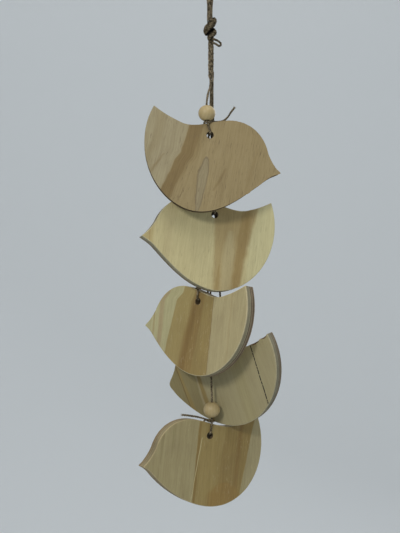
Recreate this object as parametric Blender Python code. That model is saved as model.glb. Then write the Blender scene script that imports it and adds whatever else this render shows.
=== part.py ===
"""Hanging mobile of five plywood birds on jute twine.

Metres, +Z up. The origin is the inside top of the hanging loop, where a hook carries the mobile.
The birds show their fronts to -Y, X runs to the viewer's right and Y away from the viewer.
Each bird hangs on its own strand, which comes down from the top knot, passes through a bead,
goes in at the bird's hole, comes up behind it and is tied round itself under the bead.
"""

import math

import bmesh
import bpy
from mathutils import Matrix, Vector

MM = 0.001
GAP = 0.0003

# Twine, and the hole and bead bore that it passes through
TWINE_D = 0.0019
TWINE_R = TWINE_D / 2
HOLE_D = 0.0064
BEAD_BORE = 0.0044

# Plywood birds and turned beads
PLY_THICK = 0.012
BEAD_D = 0.016
BEAD_LONG = 0.0145
BEAD_BORE_ROUND = 0.0004
HOLE_SIDES = 20
BEAD_SIDES = 16
BEAD_RINGS = 8
CURVE_STEPS = 8

# Top knot, an overhand knot tied in all the strands at once
KNOT_TOP_Z = -0.0390
KNOT_LONG = 0.0206
KNOT_WIDE = 0.0122
KNOT_DEEP = 0.0110
KNOT_MIDDLE_X = 0.0004
KNOT_END_SHARE = 0.60
KNOT_LOBE = 0.14
KNOT_TURNS = 0.75
KNOT_RINGS = 12
KNOT_SIDES = 16

# The twine's centreline stays this far from what it lies against
LIE = TWINE_R + GAP

# Bird outline as shares of its own length, from the tail tip (0, 0) to the beak tip (1, 0).
# Each corner has the handles that its curve arrives and leaves by. The hole's side is up.
BACK_LOW = -0.013
THROAT_LOW = -0.158
TAIL = {"at": (0.0, 0.0), "arrive": (-0.010, -0.277), "leave": (0.115, -0.020)}
BACK = {"arrive": (-0.030, 0.0), "leave": (0.161, 0.0)}
CROWN = {"at": (0.647, 0.194), "arrive": (-0.192, 0.0), "leave": (0.139, 0.0)}
BROW = {"at": (0.869, 0.081), "arrive": (-0.009, 0.008), "leave": (0.071, -0.063)}
BEAK = {"at": (1.0, 0.0), "arrive": (-0.010, 0.006), "leave": (-0.062, -0.074)}
THROAT = {"arrive": (0.054, 0.106), "leave": (-0.077, -0.151)}
BELLY = {"arrive": (0.228, 0.0), "leave": (-0.263, 0.0)}

# Each bird was sawn by hand, so its length, the middle of its back, its throat, the low point of
# its belly and the place of its drilled hole are its own.
# hole: middle of the hole's front rim. yaw, lean and tilt turn the board about it, in degrees.
# bead: the bead's middle, right of and behind the hole, in the hanging board's own axes.
# bead_room: from the bead's lower end down to the board's upper edge.
# tail_side: the side on which the tied end leaves, 1 for right and -1 for left.
BIRDS = {
    "bird_1": {"length": 0.1313, "back": 0.211, "throat": 0.903, "belly": (0.494, -0.533),
               "hole_at": (0.443, 0.008), "beak_side": 1,
               "hole": (0.0001, -0.0160, -0.1488), "yaw": 3.7, "lean": -2.4, "tilt": 27.8,
               "bead": (-0.0029, 0.0006), "bead_room": 0.0024, "tail_side": 1},
    "bird_2": {"length": 0.1334, "back": 0.182, "throat": 0.898, "belly": (0.471, -0.531),
               "hole_at": (0.442, 0.016), "beak_side": -1,
               "hole": (0.0048, 0.0045, -0.2218), "yaw": 15.8, "lean": -7.4, "tilt": -14.4,
               "bead": (-0.0015, 0.0012), "bead_room": 0.0034, "tail_side": 1},
    "bird_3": {"length": 0.1313, "back": 0.202, "throat": 0.906, "belly": (0.454, -0.529),
               "hole_at": (0.446, 0.021), "beak_side": -1,
               "hole": (-0.0114, 0.0143, -0.3045), "yaw": -41.2, "lean": -7.6, "tilt": -18.6,
               "bead": (0.0004, 0.0012), "bead_room": 0.0034, "tail_side": -1},
    "bird_4": {"length": 0.1282, "back": 0.198, "throat": 0.919, "belly": (0.460, -0.527),
               "hole_at": (0.440, 0.011), "beak_side": -1,
               "hole": (0.0102, 0.0190, -0.3580), "yaw": -29.9, "lean": 5.8, "tilt": -26.5,
               "bead": (0.0016, 0.0012), "bead_room": 0.0034, "tail_side": 1},
    "bird_5": {"length": 0.1318, "back": 0.188, "throat": 0.914, "belly": (0.433, -0.528),
               "hole_at": (0.431, -0.001), "beak_side": -1,
               "hole": (0.0003, 0.0173, -0.4342), "yaw": 29.1, "lean": -2.2, "tilt": -18.1,
               "bead": (0.0018, -0.0014), "bead_room": 0.0050, "tail_side": -1},
}

# Chips broken out of the fourth bird's upper edge beside the tail:
# middle as shares of the bird's length, length, depth into the edge and turn in degrees
CHIPS = [
    {"at": (0.040, -0.004), "long": 0.0050, "deep": 0.0013, "turn": 8.0},
    {"at": (0.128, -0.010), "long": 0.0062, "deep": 0.0012, "turn": -6.0},
]
CHIP_SHARE = 0.55

# Routes, in millimetres, down from the top knot to above each bead
DROPS = {
    "bird_1": [(-1.2, -1.1, -59.9), (-1.2, -1.3, -75), (-1.5, -3.0, -92), (-2.2, -8.2, -108)],
    "bird_2": [(0.9, -1.8, -59.9), (0.9, -1.8, -75), (1.1, -1.6, -90), (0.9, -1.3, -107),
               (1.0, -0.6, -121), (1.2, 0.6, -136), (1.9, 2.0, -155), (2.8, 3.6, -178)],
    "bird_3": [(-1.2, 1.1, -59.9), (-1.2, 1.1, -75), (-1.0, 1.0, -90), (0.5, 1.2, -107),
               (0.5, 1.9, -121), (-0.2, 3.4, -136), (-2.2, 7.0, -160), (-5.6, 13.0, -188),
               (-8.0, 17.0, -209), (-8.9, 17.2, -232), (-9.0, 17.1, -256)],
    "bird_4": [(2.2, 0.0, -59.9), (2.2, 0.0, -75), (2.9, 0.1, -90), (3.1, -1.0, -107),
               (3.2, -0.4, -121), (3.6, 1.0, -136), (4.8, 7.6, -160), (6.6, 16.4, -188),
               (8.0, 21.6, -208), (8.6, 21.9, -232), (8.9, 21.4, -256), (9.4, 20.8, -280),
               (10.4, 19.6, -304)],
    "bird_5": [(0.9, 1.8, -59.9), (0.9, 1.8, -75), (1.3, 2.2, -90), (2.9, 1.3, -107),
               (3.0, 2.0, -121), (3.0, 3.6, -136), (2.4, 8.2, -160), (1.6, 15.2, -188),
               (0.8, 20.2, -208), (0.7, 21.1, -235), (0.9, 21.6, -262), (1.0, 22.9, -288),
               (0.9, 22.9, -300), (0.8, 21.6, -320), (1.0, 19.6, -346), (1.6, 18.3, -376)],
}

# Routes of the tied ends in millimetres, right of the bead, behind the board's front
# and above the board's upper edge under the bead
TAIL_ENDS = {
    "bird_1": [(4.9, 2.5, 2.0), (6.9, 6.5, 2.8), (8.9, 10.5, 3.4), (11.4, 13.8, 4.2),
               (15.0, 15.4, 5.9), (19.0, 16.0, 9.8), (22.8, 16.5, 14.6), (26.4, 16.8, 18.7)],
    "bird_2": [(4.4, 2.6, 2.6), (6.5, 4.5, 3.4), (9.5, 6.0, 4.6), (12.0, 7.5, 6.0)],
    "bird_3": [(-4.4, 3.2, 2.8), (-5.8, 6.6, 3.8), (-6.8, 10.0, 5.2), (-7.2, 13.4, 7.0)],
    "bird_4": [(4.4, 3.2, 2.6), (5.8, 6.6, 3.4), (6.8, 10.0, 4.8), (7.2, 13.4, 6.6)],
    "bird_5": [(-6.3, 0.6, 3.4), (-11.3, 1.8, 5.2), (-17.3, 2.8, 6.7), (-23.3, 3.4, 7.9),
               (-29.8, 4.0, 8.9)],
}

# Hanging loop: two strands side by side, up from the knot, round the hook and down again
LOOP_STRANDS = {
    "loop_strand_1": [(-1.9, -1.2, -38.7), (-2.0, -1.2, -31), (-2.1, -1.1, -23), (-3.0, -1.1, -15),
                      (-3.6, -1.1, -8), (-2.7, -1.1, -2), (0.0, -1.1, 0.95), (2.7, -1.1, -2),
                      (4.2, -1.0, -8), (3.6, -0.8, -15), (2.4, -0.4, -23), (2.2, -0.3, -31),
                      (2.3, -0.2, -38.7)],
    "loop_strand_2": [(0.2, -1.4, -38.7), (0.1, -1.5, -31), (0.2, -1.1, -23), (-0.9, 0.2, -15),
                      (-3.2, 1.1, -8), (-2.7, 1.1, -2), (0.0, 1.1, 0.95), (2.7, 1.1, -2),
                      (3.4, 1.3, -8), (2.6, 1.5, -15), (1.2, 1.6, -23), (1.0, 1.7, -31),
                      (1.0, 1.8, -38.7)],
}

# Small slack loop of twine that stands out of the knot's right side
BIGHT = [(5.2, -1.0, -58.2), (7.4, -1.3, -60.2), (9.8, -1.7, -62.0), (11.3, -1.9, -64.4),
         (10.2, -1.9, -66.1), (8.2, -1.7, -65.4), (6.2, -1.4, -64.2), (4.5, -1.0, -63.2)]

TWINE_STEP = 2.6 * TWINE_D
DROP_STEP = 6.0 * TWINE_D

WOODS = {
    "bird_1": (0.52, 0.40, 0.25),
    "bird_2": (0.58, 0.47, 0.29),
    "bird_3": (0.50, 0.38, 0.22),
    "bird_4": (0.47, 0.41, 0.28),
    "bird_5": (0.45, 0.35, 0.20),
}


def clear_scene():
    for obj in list(bpy.data.objects):
        bpy.data.objects.remove(obj, do_unlink=True)


def material(name, colour, roughness):
    made = bpy.data.materials.new(name)
    made.use_nodes = True
    shader = made.node_tree.nodes["Principled BSDF"]
    shader.inputs["Base Color"].default_value = (*colour, 1.0)
    shader.inputs["Roughness"].default_value = roughness
    shader.inputs["Metallic"].default_value = 0.0
    return made


def add_object(name, data, finish):
    obj = bpy.data.objects.new(name, data)
    bpy.context.scene.collection.objects.link(obj)
    data.materials.append(finish)
    return obj


def cubic(a, b, c, d, t):
    s = 1 - t
    return s * s * s * a + 3 * s * s * t * b + 3 * s * t * t * c + t * t * t * d


def bird_outline(bird):
    """Points round the bird in the board's plane, in metres about the hole, hole's side up."""
    back = {**BACK, "at": (bird["back"], BACK_LOW)}
    throat = {**THROAT, "at": (bird["throat"], THROAT_LOW)}
    belly = {**BELLY, "at": bird["belly"]}
    corners = [TAIL, back, CROWN, BROW, BEAK, throat, belly]
    points = []
    for here, there in zip(corners, corners[1:] + corners[:1]):
        start, end = Vector(here["at"]), Vector(there["at"])
        leave, arrive = start + Vector(here["leave"]), end + Vector(there["arrive"])
        for step in range(CURVE_STEPS):
            points.append(cubic(start, leave, arrive, end, step / CURVE_STEPS))
    return [board_point(bird, point) for point in points]


def board_point(bird, share):
    """A point given in shares of the bird's length, as metres right of and above the hole."""
    across = (share[0] - bird["hole_at"][0]) * bird["length"] * bird["beak_side"]
    return Vector((across, (share[1] - bird["hole_at"][1]) * bird["length"]))


def hang_matrix(bird):
    """The hanging board's axes: X along it and level, Y into it, Z up it, from the hole."""
    turn = Matrix.Rotation(math.radians(bird["yaw"]), 4, "Z")
    lean = Matrix.Rotation(math.radians(bird["lean"]), 4, "X")
    return Matrix.Translation(bird["hole"]) @ turn @ lean


def tilt_matrix(bird):
    return Matrix.Rotation(math.radians(bird["tilt"]), 4, "Y")


def edge_height(bird, across):
    """How far above the hole the board's upper edge stands, close to a place across it."""
    tilt = tilt_matrix(bird)
    points = [tilt @ Vector((p.x, 0, p.y)) for p in bird_outline(bird)]
    heights = []
    for place in (across - 1.6 * TWINE_D, across, across + 1.6 * TWINE_D):
        for a, b in zip(points, points[1:] + points[:1]):
            if (a.x - place) * (b.x - place) > 0 or a.x == b.x:
                continue
            heights.append(a.z + (b.z - a.z) * (place - a.x) / (b.x - a.x))
    return max(heights)


def prism(points, front, back):
    """A bmesh board between two depths with the outline's points as its sides."""
    bm = bmesh.new()
    rims = [[bm.verts.new((p.x, depth, p.y)) for p in points] for depth in (front, back)]
    bm.faces.new(rims[0])
    bm.faces.new(rims[1])
    for i in range(len(points)):
        j = (i + 1) % len(points)
        bm.faces.new((rims[0][i], rims[0][j], rims[1][j], rims[1][i]))
    bmesh.ops.recalc_face_normals(bm, faces=bm.faces)
    return bm


def mesh_from(name, bm):
    mesh = bpy.data.meshes.new(name)
    bm.to_mesh(mesh)
    bm.free()
    return mesh


def hole_cutter(name, finish):
    bm = bmesh.new()
    bmesh.ops.create_cone(bm, cap_ends=True, segments=HOLE_SIDES, radius1=HOLE_D / 2,
                          radius2=HOLE_D / 2, depth=3 * PLY_THICK,
                          matrix=Matrix.Rotation(math.radians(90), 4, "X"))
    return hide_cutter(add_object(name, mesh_from(name, bm), finish))


def chip_cutter(name, bird, chip, finish):
    """A short wedge that takes a shallow splinter out of the upper front edge."""
    bm = bmesh.new()
    half, deep = chip["long"] / 2, chip["deep"]
    sill = [Vector((-half, deep)), Vector((-half * 0.45, -deep * 0.7)), Vector((half * 0.1, -deep)),
            Vector((half * 0.6, -deep * 0.35)), Vector((half, deep))]
    bm = prism(sill, -PLY_THICK * 0.5, PLY_THICK * CHIP_SHARE)
    middle = board_point(bird, chip["at"])
    turn = Matrix.Rotation(math.radians(chip["turn"] * bird["beak_side"]), 4, "Y")
    bmesh.ops.transform(bm, matrix=Matrix.Translation((middle.x, 0, middle.y)) @ turn, verts=bm.verts)
    return hide_cutter(add_object(name, mesh_from(name, bm), finish))


def hide_cutter(cutter):
    cutter.hide_render = True
    cutter.display_type = "WIRE"
    return cutter


def cut(obj, cutter):
    difference = obj.modifiers.new(cutter.name, "BOOLEAN")
    difference.operation = "DIFFERENCE"
    difference.solver = "EXACT"
    difference.object = cutter


def make_bird(name, bird, finish):
    board = add_object(name, mesh_from(name, prism(bird_outline(bird), 0.0, PLY_THICK)), finish)
    place = hang_matrix(bird) @ tilt_matrix(bird)
    board.matrix_world = place
    cutters = [hole_cutter(f"{name}_hole_cutter", finish)]
    if name == "bird_4":
        cutters += [chip_cutter(f"{name}_chip_cutter_{i}", bird, chip, finish)
                    for i, chip in enumerate(CHIPS, 1)]
    for cutter in cutters:
        cutter.matrix_world = place
        cut(board, cutter)
    return board


def bead_ends(bird):
    """The bead's middle and the direction of its bore, downwards, in world axes."""
    across, behind = bird["bead"]
    hang = hang_matrix(bird)
    edge = edge_height(bird, across)
    middle = hang @ Vector((across, behind, edge + bird["bead_room"] + BEAD_LONG / 2))
    below = hang @ Vector((across, -TWINE_R, edge + LIE))
    return middle, (below - middle).normalized()


def make_bead(name, bird, finish):
    """A turned bead, slightly longer round than along its bore, with the bore's lips rounded."""
    bore = BEAD_BORE / 2
    start = math.acos((bore + BEAD_BORE_ROUND) / (BEAD_D / 2))
    profile = []
    for ring in range(BEAD_RINGS + 1):
        angle = start - 2 * start * ring / BEAD_RINGS
        profile.append((BEAD_D / 2 * math.cos(angle), BEAD_LONG / 2 * math.sin(angle)))
    mouth = profile[0][1] - BEAD_BORE_ROUND
    profile += [(bore, -mouth), (bore, mouth)]
    bm = bmesh.new()
    rings = []
    for radius, height in profile:
        rings.append([bm.verts.new((radius * math.cos(a), radius * math.sin(a), height))
                      for a in (2 * math.pi * k / BEAD_SIDES for k in range(BEAD_SIDES))])
    for upper, lower in zip(rings, rings[1:] + rings[:1]):
        for k in range(BEAD_SIDES):
            j = (k + 1) % BEAD_SIDES
            bm.faces.new((upper[k], lower[k], lower[j], upper[j]))
    bmesh.ops.recalc_face_normals(bm, faces=bm.faces)
    bead = add_object(name, mesh_from(name, bm), finish)
    bead.data.shade_smooth()
    bead.data.set_sharp_from_angle(angle=math.radians(40))
    middle, down = bead_ends(bird)
    bead.matrix_world = Matrix.Translation(middle) @ down.to_track_quat("-Z", "Y").to_matrix().to_4x4()
    return bead


def tie_route(bird, tail_end):
    """Down out of the bead, in at the hole, up behind the board and once round the standing part."""
    bead_x = bird["bead"][0]
    edge = edge_height(bird, bead_x)
    side = -bird["tail_side"]
    round_it = TWINE_D + GAP
    in_hole = HOLE_D / 2 - LIE
    behind = PLY_THICK + LIE
    down = [(bead_x, -0.6 * TWINE_D / 2, edge + LIE + 0.4 * TWINE_D),
            (0.85 * bead_x, -1.05 * LIE, edge + 0.2 * TWINE_D),
            (0.5 * bead_x, -1.08 * LIE, (edge + HOLE_D / 2) / 2),
            (0.1 * bead_x, -1.08 * LIE, HOLE_D / 2 + 0.55 * TWINE_D),
            (0.0, -LIE, HOLE_D / 2),
            (0.0, -0.55 * LIE, HOLE_D / 2 - 0.85 * LIE),
            (0.0, 0.5 * LIE, in_hole - 0.1 * LIE)]
    up = [(x, PLY_THICK - y, z) for x, y, z in reversed(down[1:])]
    over = [(bead_x + 0.5 * side * round_it, 0.98 * behind - LIE, edge + 0.97 * LIE),
            (bead_x + 0.9 * side * round_it, 0.62 * PLY_THICK, edge + LIE),
            (bead_x + side * round_it, 0.25 * PLY_THICK, edge + LIE),
            (bead_x + 0.98 * side * round_it, -0.1 * TWINE_D, edge + LIE),
            (bead_x + 0.7 * side * round_it, -1.1 * TWINE_D, edge + 0.8 * LIE),
            (bead_x, -1.5 * TWINE_D, edge + 0.7 * LIE),
            (bead_x - 0.8 * side * round_it, -1.1 * TWINE_D, edge + 0.8 * LIE),
            (bead_x - 1.3 * side * round_it, -0.2 * TWINE_D, edge + LIE)]
    end = [(bead_x + x * MM, y * MM, edge + z * MM) for x, y, z in tail_end]
    return [Vector(p) for p in down + up + over + end]


def strand_route(name, bird):
    """The strand's own points from the top knot to its cut end, in world metres."""
    middle, down = bead_ends(bird)
    hang = hang_matrix(bird)
    points = [Vector(p) * MM for p in DROPS[name]]
    points += [middle - down * BEAD_LONG * 0.7, middle, middle + down * BEAD_LONG * 0.5]
    return points + [hang @ p for p in tie_route(bird, TAIL_ENDS[name])]


def smooth_run(points):
    """A smooth curve through the points, with a point every few diameters of twine."""
    run = []
    ends = [2 * points[0] - points[1], *points, 2 * points[-1] - points[-2]]
    for a, b, c, d in zip(ends, ends[1:], ends[2:], ends[3:]):
        span = (c - b).length
        count = max(1, round(span / (DROP_STEP if span > 2 * DROP_STEP else TWINE_STEP)))
        k0, k1, k2 = ((p - q).length ** 0.5 for p, q in ((b, a), (c, b), (d, c)))
        leave = ((b - a) / k0 - (c - a) / (k0 + k1) + (c - b) / k1) * k1
        arrive = ((c - b) / k1 - (d - b) / (k1 + k2) + (d - c) / k2) * k1
        for step in range(count):
            run.append(cubic(b, b + leave / 3, c - arrive / 3, c, step / count))
    return run + [points[-1]]


def make_twine(name, points, finish):
    curve = bpy.data.curves.new(name, "CURVE")
    curve.dimensions = "3D"
    curve.bevel_depth = TWINE_R
    curve.bevel_resolution = 2
    curve.use_fill_caps = True
    spline = curve.splines.new("POLY")
    run = smooth_run(points)
    spline.points.add(len(run) - 1)
    for place, point in zip(spline.points, run):
        place.co = (*point, 1.0)
    return add_object(name, curve, finish)


def make_knot(finish):
    """A long lumpy body, with two swellings that wind round it as the turns of the knot do."""
    bm = bmesh.new()
    rings = []
    for ring in range(KNOT_RINGS + 1):
        share = ring / KNOT_RINGS
        swell = KNOT_END_SHARE + (1 - KNOT_END_SHARE) * math.sin(math.pi * share) ** 0.6
        height = KNOT_TOP_Z - KNOT_LONG * share
        lobe = KNOT_LOBE * math.sin(math.pi * share)
        row = []
        for side in range(KNOT_SIDES):
            angle = 2 * math.pi * side / KNOT_SIDES
            wave = 1 - lobe * (1 - math.cos(2 * angle - 2 * math.pi * KNOT_TURNS * share)) / 2
            row.append(bm.verts.new((KNOT_MIDDLE_X + KNOT_WIDE / 2 * swell * wave * math.cos(angle),
                                     KNOT_DEEP / 2 * swell * wave * math.sin(angle), height)))
        rings.append(row)
    for upper, lower in zip(rings, rings[1:]):
        for k in range(KNOT_SIDES):
            j = (k + 1) % KNOT_SIDES
            bm.faces.new((upper[k], lower[k], lower[j], upper[j]))
    bm.faces.new(rings[0])
    bm.faces.new(rings[-1])
    bmesh.ops.recalc_face_normals(bm, faces=bm.faces)
    knot = add_object("top_knot", mesh_from("top_knot", bm), finish)
    knot.data.shade_smooth()
    knot.data.set_sharp_from_angle(angle=math.radians(50))
    return knot


def main():
    clear_scene()
    jute = material("jute twine", (0.26, 0.21, 0.14), 0.9)
    bead_wood = material("bead wood", (0.66, 0.51, 0.33), 0.5)
    for number, (name, bird) in enumerate(BIRDS.items(), 1):
        make_bird(name, bird, material(f"{name} plywood", WOODS[name], 0.6))
        make_bead(f"bead_{number}", bird, bead_wood)
        make_twine(f"twine_{number}", strand_route(name, bird), jute)
    for name, points in LOOP_STRANDS.items():
        make_twine(name, [Vector(p) * MM for p in points], jute)
    make_twine("knot_bight", [Vector(p) * MM for p in BIGHT], jute)
    make_knot(jute)


main()
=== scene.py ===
"""Looks of a hanging mobile: five flat plywood birds, each on its own jute strand under a turned bead.

Metres, +Z up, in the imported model's frame: the origin is the inside top of the hanging loop, the
birds show their fronts to -Y and X runs to the viewer's right. Each bird's board is drawn in its
own axes, X along the bird, Y into the board and Z up it, with the drilled hole at the origin. It is
then turned to hang as it does, and its finishes turn back to those axes.
"""
import math
import random

import bmesh
import bpy
import numpy as np
from mathutils import Matrix, Vector, noise
from mathutils.geometry import delaunay_2d_cdt


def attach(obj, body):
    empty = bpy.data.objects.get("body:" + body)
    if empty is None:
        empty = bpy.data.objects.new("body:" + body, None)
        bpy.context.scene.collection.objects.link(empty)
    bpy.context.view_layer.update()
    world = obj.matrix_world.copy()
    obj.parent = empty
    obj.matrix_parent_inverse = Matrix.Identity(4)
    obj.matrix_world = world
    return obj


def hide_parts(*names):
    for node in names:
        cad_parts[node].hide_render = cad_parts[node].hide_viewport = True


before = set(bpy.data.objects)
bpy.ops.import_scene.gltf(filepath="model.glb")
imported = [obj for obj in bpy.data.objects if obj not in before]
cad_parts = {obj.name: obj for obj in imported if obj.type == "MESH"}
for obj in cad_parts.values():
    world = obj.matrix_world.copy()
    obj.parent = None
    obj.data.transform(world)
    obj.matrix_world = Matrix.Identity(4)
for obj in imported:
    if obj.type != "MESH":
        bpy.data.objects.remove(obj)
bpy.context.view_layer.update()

MM = 0.001
GAP = 0.0003

# Twine, bore and hole
TWINE_D = 0.0019
TWINE_R = TWINE_D / 2
LIE = TWINE_R + GAP
HOLE_D = 0.0064

# Boards and beads
PLY_THICK = 0.012
BEAD_D = 0.016
BEAD_LONG = 0.0145

# Bird outline as shares of its own length, from the tail tip (0, 0) to the beak tip (1, 0).
# Each corner has the handles that its curve arrives and leaves by. The hole's side is up.
BACK_LOW = -0.013
THROAT_LOW = -0.158
TAIL = {"at": (0.0, 0.0), "arrive": (-0.010, -0.277), "leave": (0.115, -0.020)}
BACK = {"arrive": (-0.030, 0.0), "leave": (0.161, 0.0)}
CROWN = {"at": (0.647, 0.194), "arrive": (-0.192, 0.0), "leave": (0.139, 0.0)}
BROW = {"at": (0.869, 0.081), "arrive": (-0.009, 0.008), "leave": (0.071, -0.063)}
BEAK = {"at": (1.0, 0.0), "arrive": (-0.010, 0.006), "leave": (-0.062, -0.074)}
THROAT = {"arrive": (0.054, 0.106), "leave": (-0.077, -0.151)}
BELLY = {"arrive": (0.228, 0.0), "leave": (-0.263, 0.0)}

# Each bird's own size, anchors, place and turn, as the boards are sawn and hung
BIRDS = {
    1: {"length": 0.1313, "back": 0.211, "throat": 0.903, "belly": (0.494, -0.533),
        "hole_at": (0.443, 0.008), "beak_side": 1,
        "hole": (0.0001, -0.0160, -0.1488), "yaw": 3.7, "lean": -2.4, "tilt": 27.8,
        "bead": (-0.0029, 0.0006), "bead_room": 0.0024, "tail_side": 1},
    2: {"length": 0.1334, "back": 0.182, "throat": 0.898, "belly": (0.471, -0.531),
        "hole_at": (0.442, 0.016), "beak_side": -1,
        "hole": (0.0048, 0.0045, -0.2218), "yaw": 15.8, "lean": -7.4, "tilt": -14.4,
        "bead": (-0.0015, 0.0012), "bead_room": 0.0034, "tail_side": 1},
    3: {"length": 0.1313, "back": 0.202, "throat": 0.906, "belly": (0.454, -0.529),
        "hole_at": (0.446, 0.021), "beak_side": -1,
        "hole": (-0.0114, 0.0143, -0.3045), "yaw": -41.2, "lean": -7.6, "tilt": -18.6,
        "bead": (0.0004, 0.0012), "bead_room": 0.0034, "tail_side": -1},
    4: {"length": 0.1282, "back": 0.198, "throat": 0.919, "belly": (0.460, -0.527),
        "hole_at": (0.440, 0.011), "beak_side": -1,
        "hole": (0.0102, 0.0190, -0.3580), "yaw": -29.9, "lean": 5.8, "tilt": -26.5,
        "bead": (0.0016, 0.0012), "bead_room": 0.0034, "tail_side": 1},
    5: {"length": 0.1318, "back": 0.188, "throat": 0.914, "belly": (0.433, -0.528),
        "hole_at": (0.431, -0.001), "beak_side": -1,
        "hole": (0.0003, 0.0173, -0.4342), "yaw": 29.1, "lean": -2.2, "tilt": -18.1,
        "bead": (0.0018, -0.0014), "bead_room": 0.0050, "tail_side": -1},
}

# Routes, in millimetres, down from the top knot to above each bead
DROPS = {
    1: [(-0.4, -1.0, -59.9), (-0.4, -1.0, -75), (-0.2, -1.1, -88), (0.6, -2.6, -95), (0.1, -5.6, -102.5),
        (-1.5, -8.2, -108)],
    2: [(1.5, -1.7, -59.9), (1.5, -1.7, -75), (1.2, -1.5, -90), (1.2, -1.5, -107),
        (1.2, -0.8, -121), (1.2, 0.6, -136), (1.9, 2.0, -155), (2.8, 3.6, -178)],
    3: [(-0.6, 0.8, -59.9), (-0.4, 1.0, -75), (0.0, 1.0, -90), (0.9, 1.6, -107),
        (0.5, 1.9, -121), (-0.2, 3.4, -136), (-2.2, 7.0, -160), (-5.6, 13.0, -188),
        (-8.0, 17.0, -209), (-8.9, 17.2, -232), (-9.0, 17.1, -256)],
    4: [(2.75, 0.0, -59.9), (2.75, 0.0, -75), (2.6, 0.1, -90), (2.5, 0.1, -107),
        (2.8, 0.3, -121), (3.6, 1.0, -136), (4.8, 7.6, -160), (6.6, 16.4, -188),
        (8.0, 21.6, -208), (8.6, 21.9, -232), (8.9, 21.4, -256), (9.4, 20.8, -280),
        (10.4, 19.6, -304)],
    5: [(1.1, 1.7, -59.9), (1.5, 1.7, -75), (1.6, 2.1, -90), (2.6, 2.4, -107),
        (2.6, 2.6, -121), (3.0, 3.6, -136), (2.4, 8.2, -160), (1.6, 15.2, -188),
        (0.8, 20.2, -208), (0.7, 21.1, -235), (0.9, 21.6, -262), (1.0, 22.9, -288),
        (0.9, 22.9, -300), (0.8, 21.6, -320), (1.0, 19.6, -346), (1.6, 18.3, -376)],
}

# Routes of the tied ends in millimetres, right of the bead, behind the board's front
# and above the board's upper edge under the bead
TAIL_ENDS = {
    1: [(4.9, 2.5, 2.0), (6.9, 6.5, 2.8), (8.9, 10.5, 3.4), (11.4, 13.8, 4.2),
        (16.8, 15.4, 5.7), (20.9, 16.0, 9.3), (24.2, 16.5, 14.2), (27.6, 16.8, 18.7)],
    2: [(4.4, 2.6, 2.6), (6.5, 4.5, 3.4), (9.5, 6.0, 4.6), (12.0, 7.5, 6.0)],
    3: [(-4.4, 3.2, 2.8), (-5.8, 6.6, 3.8), (-6.8, 10.0, 5.2), (-7.2, 13.4, 7.0)],
    4: [(4.4, 3.2, 2.6), (5.8, 6.6, 3.4), (6.8, 10.0, 4.8), (7.2, 13.4, 6.6)],
    5: [(-6.3, 0.6, 3.4), (-11.3, 1.8, 5.2), (-17.3, 2.8, 6.7), (-23.3, 3.4, 7.9),
        (-29.8, 4.0, 8.9)],
}

# Hanging loop: two strands side by side, up from the knot, round the hook and down again
LOOP_STRANDS = {
    1: [(-1.7, -0.8, -38.7), (-1.7, -0.9, -31), (-1.8, -1.0, -23), (-2.5, -1.1, -15),
        (-3.4, -1.1, -8), (-2.7, -1.1, -2), (0.0, -1.1, 0.95), (2.7, -1.1, -2),
        (3.9, -1.0, -8), (3.0, -0.8, -15), (1.9, -0.4, -23), (1.7, -0.3, -31),
        (1.7, -0.3, -38.7)],
    2: [(0.0, -1.6, -38.7), (0.0, -1.6, -31), (0.0, -1.3, -23), (-0.9, 0.2, -15),
        (-3.0, 1.1, -8), (-2.7, 1.1, -2), (0.0, 1.1, 0.95), (2.7, 1.1, -2),
        (3.2, 1.3, -8), (2.0, 1.4, -15), (0.6, 1.3, -23), (0.2, 1.1, -31),
        (0.1, 1.0, -38.7)],
}

# Small slack loop of twine that stands out of the knot's right side
BIGHT = [(2.6, -0.8, -56.0), (5.6, -1.6, -56.9), (8.4, -2.2, -58.6), (10.3, -2.4, -60.6),
         (10.0, -2.3, -62.4), (8.6, -2.2, -62.8), (6.4, -2.1, -61.4), (4.2, -1.8, -60.2),
         (2.4, -1.2, -59.6)]

# Camera, 0.9 m in front of the top bird and level
CAMERA_AT = (-0.0093, -0.916, -0.2711)
CAMERA_LENS = 65.36
CAMERA_SENSOR = 36.0


def cubic(a, b, c, d, t):
    """The point a share t along the curve from a to d that b and c pull on."""
    s = 1 - t
    return s * s * s * a + 3 * s * s * t * b + 3 * s * t * t * c + t * t * t * d


def smooth_run(points, step):
    """A smooth curve through the points, as an array with a point about every step."""
    run = []
    ends = [2 * points[0] - points[1], *points, 2 * points[-1] - points[-2]]
    for a, b, c, d in zip(ends, ends[1:], ends[2:], ends[3:]):
        count = max(2, round((c - b).length / step))
        k0, k1, k2 = ((p - q).length ** 0.5 for p, q in ((b, a), (c, b), (d, c)))
        leave = ((b - a) / k0 - (c - a) / (k0 + k1) + (c - b) / k1) * k1
        arrive = ((c - b) / k1 - (d - b) / (k1 + k2) + (d - c) / k2) * k1
        for place in range(count):
            run.append(cubic(b, b + leave / 3, c - arrive / 3, c, place / count))
    return np.array([tuple(p) for p in run] + [tuple(points[-1])])


def even_run(run, step):
    """The same line with its points an even step apart, and its length."""
    gone = np.concatenate([[0], np.cumsum(np.linalg.norm(np.diff(run, axis=0), axis=1))])
    places = np.linspace(0, gone[-1], max(2, round(gone[-1] / step) + 1))
    return np.stack([np.interp(places, gone, run[:, k]) for k in range(3)], axis=1), gone[-1]


# Boards

CURVE_STEP = 0.0008


def board_point(bird, share):
    """A point given in shares of the bird's length, as metres right of and above the hole."""
    across = (share[0] - bird["hole_at"][0]) * bird["length"] * bird["beak_side"]
    return Vector((across, (share[1] - bird["hole_at"][1]) * bird["length"]))


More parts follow.
